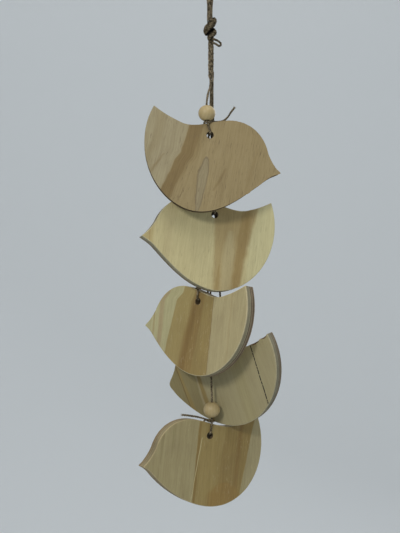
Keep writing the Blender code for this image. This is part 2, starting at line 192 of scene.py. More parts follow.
def bird_outline(bird, step=CURVE_STEP):
    """Points round the bird in the board's plane, in metres about the hole, hole's side up."""
    back = {**BACK, "at": (bird["back"], BACK_LOW)}
    throat = {**THROAT, "at": (bird["throat"], THROAT_LOW)}
    belly = {**BELLY, "at": bird["belly"]}
    corners = [TAIL, back, CROWN, BROW, BEAK, throat, belly]
    points = []
    for here, there in zip(corners, corners[1:] + corners[:1]):
        start, end = Vector(here["at"]), Vector(there["at"])
        leave, arrive = start + Vector(here["leave"]), end + Vector(there["arrive"])
        count = max(8, round((end - start).length * bird["length"] / step))
        for place in range(count):
            points.append(board_point(bird, cubic(start, leave, arrive, end, place / count)))
    return points


def hang_matrix(bird):
    """The hanging board's axes: X along it and level, Y into it, Z up it, from the hole."""
    turn = Matrix.Rotation(math.radians(bird["yaw"]), 4, "Z")
    lean = Matrix.Rotation(math.radians(bird["lean"]), 4, "X")
    return Matrix.Translation(bird["hole"]) @ turn @ lean


def tilt_matrix(bird):
    """How far the hanging board has swung round in its own plane."""
    return Matrix.Rotation(math.radians(bird["tilt"]), 4, "Y")


def board_turn(bird):
    """The board's place and turn together, as a matrix from its own axes to the world's."""
    return hang_matrix(bird) @ tilt_matrix(bird)


def edge_height(bird, across):
    """How far above the hole the board's upper edge stands, close to a place across it."""
    tilt = tilt_matrix(bird)
    points = [tilt @ Vector((p.x, 0, p.y)) for p in bird_outline(bird)]
    heights = []
    for place in (across - 1.6 * TWINE_D, across, across + 1.6 * TWINE_D):
        for a, b in zip(points, points[1:] + points[:1]):
            if (a.x - place) * (b.x - place) > 0 or a.x == b.x:
                continue
            heights.append(a.z + (b.z - a.z) * (place - a.x) / (b.x - a.x))
    return max(heights)


def bead_ends(bird):
    """The bead's middle and the direction of its bore, downwards, in world axes."""
    across, behind = bird["bead"]
    hang = hang_matrix(bird)
    edge = edge_height(bird, across)
    middle = hang @ Vector((across, behind, edge + bird["bead_room"] + BEAD_LONG / 2))
    below = hang @ Vector((across, -TWINE_R, edge + LIE))
    return middle, (below - middle).normalized()


# Strand routes

def tie_route(bird, tail_end):
    """Down out of the bead, in at the hole, up behind the board and once round the standing part."""
    bead_x = bird["bead"][0]
    edge = edge_height(bird, bead_x)
    side = -bird["tail_side"]
    round_it = TWINE_D + GAP
    in_hole = HOLE_D / 2 - LIE
    behind = PLY_THICK + LIE
    down = [(bead_x, -0.6 * TWINE_D / 2, edge + LIE + 0.4 * TWINE_D),
            (0.85 * bead_x, -1.05 * LIE, edge + 0.2 * TWINE_D),
            (0.5 * bead_x, -1.08 * LIE, (edge + HOLE_D / 2) / 2),
            (0.1 * bead_x, -1.08 * LIE, HOLE_D / 2 + 0.55 * TWINE_D),
            (0.0, -LIE, HOLE_D / 2),
            (0.0, -0.55 * LIE, HOLE_D / 2 - 0.85 * LIE),
            (0.0, 0.5 * LIE, in_hole - 0.1 * LIE)]
    up = [(x, PLY_THICK - y, z) for x, y, z in reversed(down[1:])]
    over = [(bead_x + 0.5 * side * round_it, 0.98 * behind - LIE, edge + 0.97 * LIE),
            (bead_x + 0.9 * side * round_it, 0.62 * PLY_THICK, edge + LIE),
            (bead_x + side * round_it, 0.25 * PLY_THICK, edge + LIE),
            (bead_x + 0.98 * side * round_it, -0.1 * TWINE_D, edge + LIE),
            (bead_x + 0.7 * side * round_it, -1.1 * TWINE_D, edge + 0.8 * LIE),
            (bead_x, -1.5 * TWINE_D, edge + 0.7 * LIE),
            (bead_x - 0.8 * side * round_it, -1.1 * TWINE_D, edge + 0.8 * LIE),
            (bead_x - 1.3 * side * round_it, -0.2 * TWINE_D, edge + LIE)]
    end = [(bead_x + x * MM, y * MM, edge + z * MM) for x, y, z in tail_end]
    return [Vector(p) for p in down + up + over + end]


TWIST_TOP = -60.0
TWIST_FOOT = -92.0
TWIST_STEP = 2.0
TWIST_TURNS = 2
BUNDLE_MIDDLE = (1.0, 0.0)
BUNDLE_CLOSE = 0.97


def twisted_drop(points):
    """The strand's drop with the bundle twisted round itself under the knot."""
    below = [p for p in points if p[2] <= TWIST_FOOT]
    run = smooth_run([Vector(p) for p in points], 0.25)
    count = round((TWIST_TOP - TWIST_FOOT) / TWIST_STEP)
    turned = []
    for k in range(count):
        height = TWIST_TOP - k * TWIST_STEP
        x, y = (np.interp(-height, -run[:, 2], run[:, axis]) for axis in (0, 1))
        share = k / count
        angle = 2 * math.pi * TWIST_TURNS * share
        close = 1 - (1 - BUNDLE_CLOSE) * math.sin(math.pi * share)
        x, y = (x - BUNDLE_MIDDLE[0]) * close, (y - BUNDLE_MIDDLE[1]) * close
        turned.append((BUNDLE_MIDDLE[0] + x * math.cos(angle) - y * math.sin(angle),
                       BUNDLE_MIDDLE[1] + x * math.sin(angle) + y * math.cos(angle), height))
    return turned + below


def strand_route(number, bird):
    """The strand's own points from the top knot to its cut end, in world metres."""
    middle, down = bead_ends(bird)
    hang = hang_matrix(bird)
    points = [Vector(p) * MM for p in twisted_drop(DROPS[number])]
    points += [middle - down * BEAD_LONG * 0.7, middle, middle + down * BEAD_LONG * 0.5]
    return points + [hang @ p for p in tie_route(bird, TAIL_ENDS[number])]


# Meshes

def add_mesh(name, points, faces, finishes):
    """A new piece in the scene from its points, faces and finishes."""
    mesh = bpy.data.meshes.new(name)
    mesh.from_pydata([tuple(p) for p in points], [], [tuple(f) for f in faces])
    piece = bpy.data.objects.new(name, mesh)
    bpy.context.scene.collection.objects.link(piece)
    for finish in finishes:
        mesh.materials.append(finish)
    return piece


def carried_frames(run):
    """Unit tangents and two cross directions carried along the line without twisting."""
    tangents = np.gradient(run, axis=0)
    tangents /= np.linalg.norm(tangents, axis=1)[:, None]
    side = np.cross(tangents[0], (0.3, 0.9, 0.2))
    sides = []
    for tangent in tangents:
        side = side - tangent * (side @ tangent)
        side /= np.linalg.norm(side)
        sides.append(side)
    sides = np.array(sides)
    return tangents, sides, np.cross(tangents, sides)


STRAND_STEP = 0.00045
STRAND_SIDES = 18
STRAND_LAY = 0.0068
# Each ply's middle and radius as shares of the strand's radius, and how deep the valleys go
PLY_OUT = 0.536
PLY_ROUND = 0.464
VALLEY = 0.80
SLUB_SHARE = 0.10
STRAND_LOOK = 1.10
BIGHT_LOOK = 1.2


def ply_radius(angle):
    """Share of the strand's radius round it: three plies side by side, with shallow valleys."""
    third = 2 * math.pi / 3
    turned = (angle + third / 2) % third - third / 2
    beside = PLY_OUT * np.sin(turned)
    reach = PLY_OUT * np.cos(turned) + np.sqrt(np.maximum(PLY_ROUND ** 2 - beside ** 2, 0))
    return np.maximum(reach, VALLEY)


def slubs(places, draw, share):
    """A gentle uneven thickness along the strand, about 1."""
    waves = sum(np.sin(places / draw.uniform(0.0008, 0.006) + draw.uniform(0, 6.3)) for _ in range(6))
    return 1 + share * waves / 3


def strand_shell(run, draw, radius=TWINE_R * STRAND_LOOK, lay=STRAND_LAY):
    """Points, faces and strand coordinates of one twisted strand along the line."""
    run, length = even_run(run, STRAND_STEP)
    _, sides, ups = carried_frames(run)
    places = np.linspace(0, length, len(run))
    thick = slubs(places, draw, SLUB_SHARE) * radius
    turn = 2 * math.pi * places / lay
    points, coords = [], []
    for k in range(STRAND_SIDES):
        angle = 2 * math.pi * k / STRAND_SIDES
        reach = thick * ply_radius(np.full(len(run), angle))
        around = angle + turn
        points.append(run + (reach * np.cos(around))[:, None] * sides
                      + (reach * np.sin(around))[:, None] * ups)
        coords.append(np.stack([places * 1000, np.full(len(run), angle)], axis=1))
    points = np.stack(points, axis=1).reshape(-1, 3)
    coords = np.stack(coords, axis=1).reshape(-1, 2)
    faces = []
    for ring in range(len(run) - 1):
        first = ring * STRAND_SIDES
        for k in range(STRAND_SIDES):
            j = (k + 1) % STRAND_SIDES
            faces.append((first + k, first + j, first + STRAND_SIDES + j, first + STRAND_SIDES + k))
    last = (len(run) - 1) * STRAND_SIDES
    faces.append(tuple(reversed(range(STRAND_SIDES))))
    faces.append(tuple(range(last, last + STRAND_SIDES)))
    return points, faces, coords


def joined(shells):
    """Several shells as one list of points, faces and coordinates."""
    points, faces, coords, base = [], [], [], 0
    for more_points, more_faces, more_coords in shells:
        points.append(more_points)
        coords.append(more_coords)
        faces += [tuple(v + base for v in face) for face in more_faces]
        base += len(more_points)
    return np.concatenate(points), faces, np.concatenate(coords)


def strand_piece(name, shells, finish):
    """Twisted strands as one smooth piece that keeps its strand coordinates."""
    points, faces, coords = joined(shells)
    piece = add_mesh(name, points, faces, [finish])
    layer = piece.data.uv_layers.new(name="strand")
    corners = np.empty(len(piece.data.loops), np.int32)
    piece.data.loops.foreach_get("vertex_index", corners)
    layer.data.foreach_set("uv", coords[corners].astype(np.float32).ravel())
    piece.data.shade_smooth()
    return piece


FIBRE_PARTS = 4
FIBRE_SIDES = 3
# Lengths and widths in millimetres that stray and cut fibres are drawn between
STRAY_LONG = (0.8, 3.2)
STRAY_WIDE = (0.05, 0.11)
CUT_WIDE = (0.08, 0.16)
# Stray fibres on each millimetre of twine
KNOT_FUZZ = 0.35
BIGHT_FUZZ = 0.9
LOOP_FUZZ = 0.8
STRAND_FUZZ = 0.7
BRUSH_FIBRES = 34
BRUSH_LONG = 2.6
STRAND_SEED = 41


def fibre(start, direction, curl, length, thick, points, faces):
    """One stray fibre: a thin three-sided sliver that curls and tapers to its tip."""
    base = len(points)
    run = [start + direction * length * t + curl * length * t * t
           for t in (k / FIBRE_PARTS for k in range(FIBRE_PARTS))]
    side = direction.cross(Vector((0.37, 0.61, 0.70))).normalized()
    up = direction.cross(side).normalized()
    for k, place in enumerate(run):
        radius = thick / 2 * (1 - 0.6 * k / FIBRE_PARTS)
        for s in range(FIBRE_SIDES):
            angle = 2 * math.pi * s / FIBRE_SIDES
            points.append(place + side * radius * math.cos(angle) + up * radius * math.sin(angle))
    points.append(start + direction * length + curl * length)
    faces.append(tuple(base + s for s in reversed(range(FIBRE_SIDES))))
    for k in range(FIBRE_PARTS - 1):
        first = base + k * FIBRE_SIDES
        for s in range(FIBRE_SIDES):
            j = (s + 1) % FIBRE_SIDES
            faces.append((first + s, first + j, first + FIBRE_SIDES + j, first + FIBRE_SIDES + s))
    first = base + (FIBRE_PARTS - 1) * FIBRE_SIDES
    for s in range(FIBRE_SIDES):
        faces.append((first + s, first + (s + 1) % FIBRE_SIDES, len(points) - 1))


def fuzz_piece(name, runs, per_mm, draw, finish, brush=()):
    """Stray fibres along the lines, and a splayed brush of them at each cut end."""
    points, faces = [], []
    for run in runs:
        run, length = even_run(run, STRAND_STEP)
        tangents, sides, ups = carried_frames(run)
        for _ in range(round(length / MM * per_mm)):
            k = draw.randrange(len(run))
            around = draw.uniform(0, 2 * math.pi)
            out = Vector(sides[k]) * math.cos(around) + Vector(ups[k]) * math.sin(around)
            along = Vector(tangents[k]) * draw.choice((-1, 1))
            lift = draw.uniform(0.15, 0.75)
            direction = (along * (1 - lift) + out * lift).normalized()
            curl = Vector([draw.uniform(-0.5, 0.5) for _ in range(3)]) - out * draw.uniform(0, 0.35)
            fibre(Vector(run[k]) + out * TWINE_R * 0.72, direction, curl,
                  draw.uniform(*STRAY_LONG) * MM, draw.uniform(*STRAY_WIDE) * MM, points, faces)
    for place, direction, count, length in brush:
        for _ in range(count):
            spread = Vector([draw.uniform(-1, 1) for _ in range(3)])
            spread -= direction * spread.dot(direction)
            start = place - direction * 0.8 * MM + spread * TWINE_R * 0.75
            heading = (direction + spread * draw.uniform(0.1, 0.55)).normalized()
            fibre(start, heading, spread * draw.uniform(0, 0.4), length * draw.uniform(0.5, 1.0),
                  draw.uniform(*CUT_WIDE) * MM, points, faces)
    piece = add_mesh(name, points, faces, [finish])
    piece.data.shade_smooth()
    return piece


def offset_line(points, inset):
    """The closed line moved inwards by an inset for each point, mitred at its corners."""
    count = len(points)
    normals = []
    for k in range(count):
        before = (points[k] - points[k - 1]).normalized()
        after = (points[(k + 1) % count] - points[k]).normalized()
        bisector = Vector((before.y + after.y, -(before.x + after.x)))
        bisector.normalize()
        reach = max(0.35, bisector.dot(Vector((before.y, -before.x))))
        normals.append(bisector / reach)
    return [point - normal * inset[k] for k, (point, normal) in enumerate(zip(points, normals))]


# The plies as shares of the board's thickness, from the front, with a fine groove at each glue line
GLUE_LINES = (0.13, 0.47, 0.57, 0.80)
GLUE_GROOVE = 0.00007
GLUE_HALF = 0.00012
ARRIS = 0.00055
ARRIS_STEPS = 3
SAW_WAVE = 0.00009
GRID = 0.0017
GRID_SHIFT = 0.18
FACE_DIP = 0.00005
SHARP_ANGLE = 38

# Which finish a face of the board takes
SANDED = 0
SAWN = 1
DRILLED = 2


def rim_depths():
    """Depth and inset of each ring round the board: rounded arris, plies and glue grooves."""
    rings = []
    for k in range(ARRIS_STEPS + 1):
        angle = math.pi / 2 * k / ARRIS_STEPS
        rings.append((ARRIS * (1 - math.sin(angle)), ARRIS * (1 - math.cos(angle))))
    rings.reverse()
    for share in GLUE_LINES:
        middle = share * PLY_THICK
        rings += [(middle - 2 * GLUE_HALF, 0.0), (middle - GLUE_HALF, GLUE_GROOVE),
                  (middle + GLUE_HALF, GLUE_GROOVE), (middle + 2 * GLUE_HALF, 0.0)]
    for k in range(ARRIS_STEPS + 1):
        angle = math.pi / 2 * k / ARRIS_STEPS
        rings.append((PLY_THICK - ARRIS * (1 - math.sin(angle)), ARRIS * (1 - math.cos(angle))))
    return rings


# Nicks in the first bird's edge and chips torn out beside the fourth bird's tail: the middle as
# shares of the bird's length, half length, depth into the edge and reach back from the front
CHIPS = {
    1: [{"at": (0.915, -0.140), "half": 0.0012, "deep": 0.0008, "reach": 0.0030},
        {"at": (0.868, -0.241), "half": 0.0013, "deep": 0.0009, "reach": 0.0030},
        {"at": (0.998, -0.003), "half": 0.0022, "deep": 0.0006, "reach": 0.0110}],
    4: [{"at": (0.036, -0.004), "half": 0.0034, "deep": 0.0019, "reach": 0.0078},
        {"at": (0.122, -0.010), "half": 0.0048, "deep": 0.0016, "reach": 0.0070}],
}
CHIP_NEAR = 0.006
TORN = 0.00025
BLUNT_BIRD = 4
BLUNT = 0.0042


def chip_inset(bird, chips, point, depth, seed):
    """How far a chip takes the edge in at a place, with a splintered bottom."""
    inset = 0.0
    for chip in chips:
        middle = board_point(bird, chip["at"])
        along = abs(point.x - middle.x) / chip["half"]
        if along > 1 or depth > chip["reach"] or abs(point.y - middle.y) > CHIP_NEAR:
            continue
        ragged = 0.7 + 0.6 * noise.noise(Vector((point.x * 1400, depth * 700, seed)))
        taper = 1 - 0.95 * depth / chip["reach"]
        inset = max(inset, chip["deep"] * (1 - along ** 2) ** 0.6 * ragged * taper)
    return inset


def rubbed_beak(bird, outline):
    """The outline with its beak tip rubbed off to a short round nose."""
    tip = board_point(bird, BEAK["at"])
    back = (board_point(bird, (BEAK["at"][0] - 0.1, -0.02)) - tip).normalized()
    rubbed = []
    for point in outline:
        in_from_tip = (point - tip).dot(back)
        if in_from_tip < 2 * BLUNT:
            share = 1 - in_from_tip / (2 * BLUNT)
            point = point + back * BLUNT * share ** 2
        rubbed.append(point)
    return rubbed


HOLE_POINTS = 44
HOLE_LIP = 0.0003


def hole_ring(radius):
    """Points round the drilled hole in the board's plane."""
    return [Vector((radius * math.cos(a), radius * math.sin(a)))
            for a in (2 * math.pi * k / HOLE_POINTS for k in range(HOLE_POINTS))]


def face_fill(outer, inner, seed):
    """Even triangles between the outline and the hole: points in the plane and corner triples."""
    lows = [min(p[k] for p in outer) for k in (0, 1)]
    highs = [max(p[k] for p in outer) for k in (0, 1)]
    edge = np.array([tuple(p) for p in outer])
    draw = random.Random(seed)
    inside = []
    rows = int((highs[1] - lows[1]) / GRID) + 2
    columns = int((highs[0] - lows[0]) / GRID) + 2
    for row in range(rows):
        for column in range(columns):
            spot = np.array((lows[0] + (column + 0.5 * (row % 2)) * GRID, lows[1] + row * GRID))
            spot += [draw.uniform(-GRID_SHIFT, GRID_SHIFT) * GRID for _ in range(2)]
            if np.hypot(*spot) < HOLE_D / 2 + HOLE_LIP + 0.6 * GRID or not within(edge, spot):
                continue
            if np.min(np.hypot(*(edge - spot).T)) > 0.7 * GRID:
                inside.append(Vector(spot))
    spots = [*outer, *inner, *inside]
    count = len(outer)
    bounds = [(k, (k + 1) % count) for k in range(count)]
    bounds += [(count + k, count + (k + 1) % len(inner)) for k in range(len(inner))]
    made, _, triangles, origin, _, _ = delaunay_2d_cdt(spots, bounds, [], 1, 1e-9)
    keep = []
    for triangle in triangles:
        middle = sum((made[v] for v in triangle), Vector((0, 0))) / 3
        if middle.length > HOLE_D / 2 + HOLE_LIP * 0.9 and within(edge, np.array(middle)):
            keep.append(tuple(triangle))
    back_to = [origin[k][0] if origin[k] else None for k in range(len(made))]
    return made, keep, back_to


def within(edge, spot):
    """Whether a spot lies inside the closed line."""
    a, b = edge, np.roll(edge, -1, axis=0)
    crosses = (a[:, 1] > spot[1]) != (b[:, 1] > spot[1])
    with np.errstate(divide="ignore", invalid="ignore"):
        place = a[:, 0] + (spot[1] - a[:, 1]) * (b[:, 0] - a[:, 0]) / (b[:, 1] - a[:, 1])
    return bool((crosses & (spot[0] < place)).sum() % 2)


def rim_shell(bird, outline, chips, seed):
    """The sawn edge in rings from front to back, with how torn and how worn each point is."""
    wobble = [SAW_WAVE * noise.noise(Vector((p.x * 900, p.y * 900, seed)))
              + 0.6 * SAW_WAVE * noise.noise(Vector((p.x * 3100, p.y * 3100, seed))) for p in outline]
    rings = rim_depths()
    points, faces, splinters, arris = [], [], [], []
    count = len(outline)
    for depth, inset in rings:
        broken = [chip_inset(bird, chips, p, depth, seed) for p in outline]
        insets = [inset + wobble[k] + SAW_WAVE + broken[k] for k in range(count)]
        points += [(p.x, depth, p.y) for p in offset_line(outline, insets)]
        splinters += [min(1.0, b / TORN) for b in broken]
        arris += [min(1.0, inset / ARRIS)] * count
    for ring in range(len(rings) - 1):
        first = ring * count
        for k in range(count):
            j = (k + 1) % count
            faces.append((first + k, first + count + k, first + count + j, first + j))
    return points, faces, splinters, arris


def hole_shell(base):
    """The drilled hole's wall, with a small broken lip at both faces. Its points start at base."""
    lips = [(0.0, HOLE_D / 2 + HOLE_LIP), (HOLE_LIP, HOLE_D / 2), (PLY_THICK * 0.5, HOLE_D / 2),
            (PLY_THICK - HOLE_LIP, HOLE_D / 2), (PLY_THICK, HOLE_D / 2 + HOLE_LIP)]
    points = [(p.x, depth, p.y) for depth, radius in lips for p in hole_ring(radius)]
    faces = []
    for ring in range(len(lips) - 1):
        first = base + ring * HOLE_POINTS
        for k in range(HOLE_POINTS):
            j = (k + 1) % HOLE_POINTS
            faces.append((first + k, first + j, first + HOLE_POINTS + j, first + HOLE_POINTS + k))
    return points, faces


def close_face(points, count, rim_first, lip_first, number, seed, back):
    """Fills one sanded face between the rim and the hole, adds its points and gives its faces."""
    outer = [Vector((x, z)) for x, _, z in points[rim_first:rim_first + count]]
    spots, triangles, back_to = face_fill(outer, hole_ring(HOLE_D / 2 + HOLE_LIP), number)
    place = []
    for spot, source in zip(spots, back_to):
        if source is not None and source < count:
            place.append(rim_first + source)
        elif source is not None and source < count + HOLE_POINTS:
            place.append(lip_first + source - count)
        else:
            place.append(len(points))
            dip = FACE_DIP * noise.noise(Vector((spot.x * 120, spot.y * 45, seed)))
            points.append((spot.x, PLY_THICK - dip if back else dip, spot.y))
    order = (0, 2, 1) if back else (0, 1, 2)
    return [tuple(place[triangle[corner]] for corner in order) for triangle in triangles]


def board_piece(number, bird, finishes):
    """A sawn and drilled board: sanded faces, rounded arrises, plied rim and a hole right through."""
    outline = bird_outline(bird)
    if number == BLUNT_BIRD:
        outline = rubbed_beak(bird, outline)
    seed = number * 17.3
    count = len(outline)
    points, faces, splinters, arris = rim_shell(bird, outline, CHIPS.get(number, []), seed)
    kinds = [SAWN] * len(faces)
    front_lip = len(points)
    back_rim = front_lip - count
    hole_points, hole_faces = hole_shell(front_lip)
    points += hole_points
    faces += hole_faces
    kinds += [DRILLED] * len(hole_faces)
    back_lip = len(points) - HOLE_POINTS
    faces += close_face(points, count, 0, front_lip, number, seed, False)
    faces += close_face(points, count, back_rim, back_lip, number, seed, True)
    kinds += [SANDED] * (len(faces) - len(kinds))
    name = f"plywood_bird_{number}"
    piece = add_mesh(name, points, faces, finishes)
    piece.data.polygons.foreach_set("material_index", kinds)
    for label, values in (("splinters", splinters), ("arris", arris)):
        layer = piece.data.attributes.new(label, "FLOAT", "POINT")
        layer.data.foreach_set("value", values + [0.0] * (len(points) - len(values)))
    bm = bmesh.new()
    bm.from_mesh(piece.data)
    bmesh.ops.recalc_face_normals(bm, faces=bm.faces)
    bm.to_mesh(piece.data)
    bm.free()
    piece.data.shade_smooth()
    piece.data.set_sharp_from_angle(angle=math.radians(SHARP_ANGLE))
    weigh = piece.modifiers.new("flat faces first", "WEIGHTED_NORMAL")
    weigh.keep_sharp = True
    weigh.weight = 90
    turn = board_turn(bird)
    piece.data.transform(turn.to_3x3().to_4x4())
    piece.matrix_world = Matrix.Translation(turn.translation)
    return piece


# Beads

BEAD_SIDES = 56
BEAD_RINGS = 34
BEAD_LIP = 0.00045
BEAD_MOUTH = 0.0036
BEAD_FULL = 1.045


def bead_piece(number, bird, finish):
    """A turned bead, a little shorter along its bore than across, with softened lips."""
    bore = BEAD_MOUTH / 2
    start = math.acos((bore + BEAD_LIP) / (BEAD_D / 2))
    profile = []
    for ring in range(BEAD_RINGS + 1):
        angle = start - 2 * start * ring / BEAD_RINGS
        profile.append((BEAD_D / 2 * math.cos(angle), BEAD_FULL * BEAD_LONG / 2 * math.sin(angle)))
    mouth = profile[0][1]
    lip = [(bore + BEAD_LIP * (1 - math.sin(a)), mouth - BEAD_LIP * (1 - math.cos(a)))
           for a in (math.pi / 2 * k / 4 for k in range(1, 5))]
    profile += [(r, -z) for r, z in lip]
    profile += [(bore, z) for z in np.linspace(-mouth + 2 * BEAD_LIP, mouth - 2 * BEAD_LIP, 6)]
    profile += [(r, z) for r, z in reversed(lip)]
    points, faces = [], []
    for radius, height in profile:
        for k in range(BEAD_SIDES):
            angle = 2 * math.pi * k / BEAD_SIDES
            ragged = 1 + 0.004 * noise.noise(Vector((math.cos(angle) * 2, math.sin(angle) * 2,
                                                     height * 300 + number)))
            points.append((radius * ragged * math.cos(angle), radius * ragged * math.sin(angle), height))
    rings = len(profile)
    for ring in range(rings):
        for k in range(BEAD_SIDES):
            j = (k + 1) % BEAD_SIDES
            below = ((ring + 1) % rings) * BEAD_SIDES
            faces.append((ring * BEAD_SIDES + k, below + k, below + j, ring * BEAD_SIDES + j))
    piece = add_mesh(f"turned_bead_{number}", points, faces, [finish])
    piece.data.shade_smooth()
    middle, down = bead_ends(bird)
    piece.matrix_world = Matrix.Translation(middle) @ down.to_track_quat("-Z", "Y").to_matrix().to_4x4()
    return piece


# Top knot: the strands come in from below, rise through the core, fold over to the right, wrap
# round the front from upper right to lower left, go round behind, and tuck up through the core

KNOT_STRANDS = 5
KNOT_BAND_STEP = 0.00164
KNOT_LOOK = 1.0
KNOT_WRAP = [(70, -38.4, 3.2), (35, -37.9, 4.3), (0, -38.5, 4.9), (-40, -40.9, 5.4), (-80, -43.4, 5.2),
             (-120, -45.9, 5.3), (-160, -47.7, 5.4), (-205, -48.4, 4.8), (-250, -47.9, 4.3),
             (-300, -47.9, 4.3), (-340, -48.8, 4.9), (-375, -50.1, 4.9), (-410, -51.9, 4.6),
             (-445, -53.5, 4.1), (-485, -55.0, 3.0)]
KNOT_MIDDLE = (0.3, 0.2)
KNOT_FLAT = 0.86
KNOT_FOOT = 1.2
CORE_OUT = [(-1.7, -0.8), (0.0, -1.6), (1.7, -0.3), (0.1, 1.0), (-0.4, 0.2)]


def knot_runs():
    """Each strand's own line through the knot, in metres."""
    runs = []
    for k in range(KNOT_STRANDS):
        across = k - (KNOT_STRANDS - 1) / 2
        start = Vector(DROPS[k + 1][0])
        line = [start + Vector((0, 0, 0.6)),
                Vector(((start.x - KNOT_FOOT) * 1.02 + KNOT_FOOT, start.y, -57.2)),
                Vector(((start.x - KNOT_FOOT) * 1.15 + KNOT_FOOT, start.y * 1.1, -54.4)),
                Vector((-0.9 + 0.3 * across, 1.5 + 0.2 * across, -50.0)),
                Vector((-0.6 + 0.3 * across, 1.8, -43.5))]
        for place, (turn, height, reach) in enumerate(KNOT_WRAP):
            angle = math.radians(turn)
            share = place / (len(KNOT_WRAP) - 1)
            spread = across * KNOT_BAND_STEP / MM * (0.60 + 0.40 * math.sin(math.pi * min(1, share * 1.2)))
            bulge = reach - 0.28 * across ** 2 + 0.55
            line.append(Vector((KNOT_MIDDLE[0] + bulge * math.cos(angle),
                                KNOT_MIDDLE[1] + bulge * KNOT_FLAT * math.sin(angle), height - spread)))
        out = CORE_OUT[k]
        line += [Vector((out[0] * 0.6 - 0.3, out[1] * 0.7 - 0.4, -51.0 + 0.5 * across)),
                 Vector((out[0] * 0.85, out[1] * 0.85 - 0.3, -45.0)),
                 Vector((out[0], out[1], -39.3))]
        runs.append(smooth_run([p * MM for p in line], STRAND_STEP))
    return runs


# Colours of the finishes
PORE_BROWN = (0.15, 0.10, 0.05)
FLECK_PALE = (0.62, 0.53, 0.33)
SOIL_BROWN = (0.16, 0.12, 0.08)
SPLINTER_DARK = (0.055, 0.030, 0.014)
SPLINTER_RUST = (0.20, 0.115, 0.045)
# Bore colours far darker than the sawn plies: painted shade inside the hole
BORE_DARK = (0.06, 0.04, 0.022)
BORE_LIGHT = (0.20, 0.145, 0.08)
BEAD_LIGHT = (0.476, 0.373, 0.186)
BEAD_RING = (0.450, 0.346, 0.168)
BEAD_FLECK = (0.26, 0.17, 0.08)
JUTE_DARK = (0.050, 0.038, 0.022)
JUTE_LIGHT = (0.340, 0.275, 0.178)
# Knot colours darker than the twine's own: painted shade of the knot's deep folds, also used on its slack
# loop
KNOT_SHADED_DARK = (0.018, 0.014, 0.008)
KNOT_SHADED_LIGHT = (0.235, 0.185, 0.112)
FIBRE_DARK = (0.12, 0.095, 0.06)
FIBRE_LIGHT = (0.32, 0.26, 0.17)
FLOOR_PALE = (0.745, 0.78, 0.80)

# Millimetres along the grain, past any board's end
FAR_END = 500.0


# Node helpers

def put(tree, kind, sockets=None, **settings):
    """Adds a node with its settings, and fills its sockets with values or with links."""
    made = tree.nodes.new(kind)
    for key, value in settings.items():
        setattr(made, key, value)
    for key, value in (sockets or {}).items():
        if isinstance(value, bpy.types.NodeSocket):
            tree.links.new(value, made.inputs[key])
        else:
            made.inputs[key].default_value = value
    return made


def maths(tree, operation, a, b=0.0, clamp=False):
    """One step of arithmetic on values or links."""
    return put(tree, "ShaderNodeMath", {0: a, 1: b}, operation=operation, use_clamp=clamp).outputs[0]


def times(tree, a, b, clamp=False):
    """One value multiplied by another."""
    return maths(tree, "MULTIPLY", a, b, clamp)


def own_place(tree):
    """The place on the piece, in its own axes."""
    return put(tree, "ShaderNodeTexCoord").outputs["Object"]


def stretched(tree, place, factors):
    """A place with each axis multiplied by its own factor."""
    return put(tree, "ShaderNodeVectorMath", {0: place, 1: factors}, operation="MULTIPLY").outputs[0]


def speckle(tree, place, scale, detail, rough=0.5):
    """Smooth random values about a half, finer with a larger scale."""
    sockets = {"Vector": place, "Scale": scale, "Detail": detail, "Roughness": rough}
    return put(tree, "ShaderNodeTexNoise", sockets).outputs["Fac"]


def blended(tree, share, below, above, mode="MIX"):
    """One colour over another by a share from 0 to 1."""
    made = put(tree, "ShaderNodeMix", {"Factor": share}, data_type="RGBA", blend_type=mode)
    for socket, value in zip((made.inputs[6], made.inputs[7]), (below, above)):
        if isinstance(value, bpy.types.NodeSocket):
            tree.links.new(value, socket)
        else:
            socket.default_value = (*value, 1.0)
    return made.outputs[2]


def shaded(tree, colour, level):
    """A colour darkened or lightened by a level, where 1 leaves it as it is."""
    grey = put(tree, "ShaderNodeCombineColor", {0: level, 1: level, 2: level}).outputs[0]
    return blended(tree, 1.0, colour, grey, "MULTIPLY")


def add_bump(tree, shader, height, strength, distance):
    """Raises and lowers a finish by a height that changes over it."""
    bump = put(tree, "ShaderNodeBump", {"Height": height, "Strength": strength, "Distance": distance})
    tree.links.new(bump.outputs[0], shader.inputs["Normal"])


def eased(tree, value, low, high, to_low=0.0, to_high=1.0):
    """A value that runs smoothly from one level to another between two bounds."""
    return put(tree, "ShaderNodeMapRange", {"Value": value, "From Min": low, "From Max": high,
                                            "To Min": to_low, "To Max": to_high},
               interpolation_type="SMOOTHSTEP").outputs[0]


def new_group(name, inputs, outputs):
    """A shader node group with named inputs and outputs, and its two end nodes."""
    group = bpy.data.node_groups.new(name, "ShaderNodeTree")
    kinds = {"value": "NodeSocketFloat", "colour": "NodeSocketColor", "vector": "NodeSocketVector"}
    for label, kind, default in inputs:
        socket = group.interface.new_socket(label, in_out="INPUT", socket_type=kinds[kind])
        socket.default_value = default
    for label, kind in outputs:
        group.interface.new_socket(label, in_out="OUTPUT", socket_type=kinds[kind])
    ends = group.nodes.new("NodeGroupInput"), group.nodes.new("NodeGroupOutput")
    return group, ends[0].outputs, ends[1].inputs


def use(tree, group, **values):
    """Places a group in a material or another group, and gives its outputs."""
    sockets = {key.replace("_", " "): value for key, value in values.items()}
    return put(tree, "ShaderNodeGroup", sockets, node_tree=group).outputs


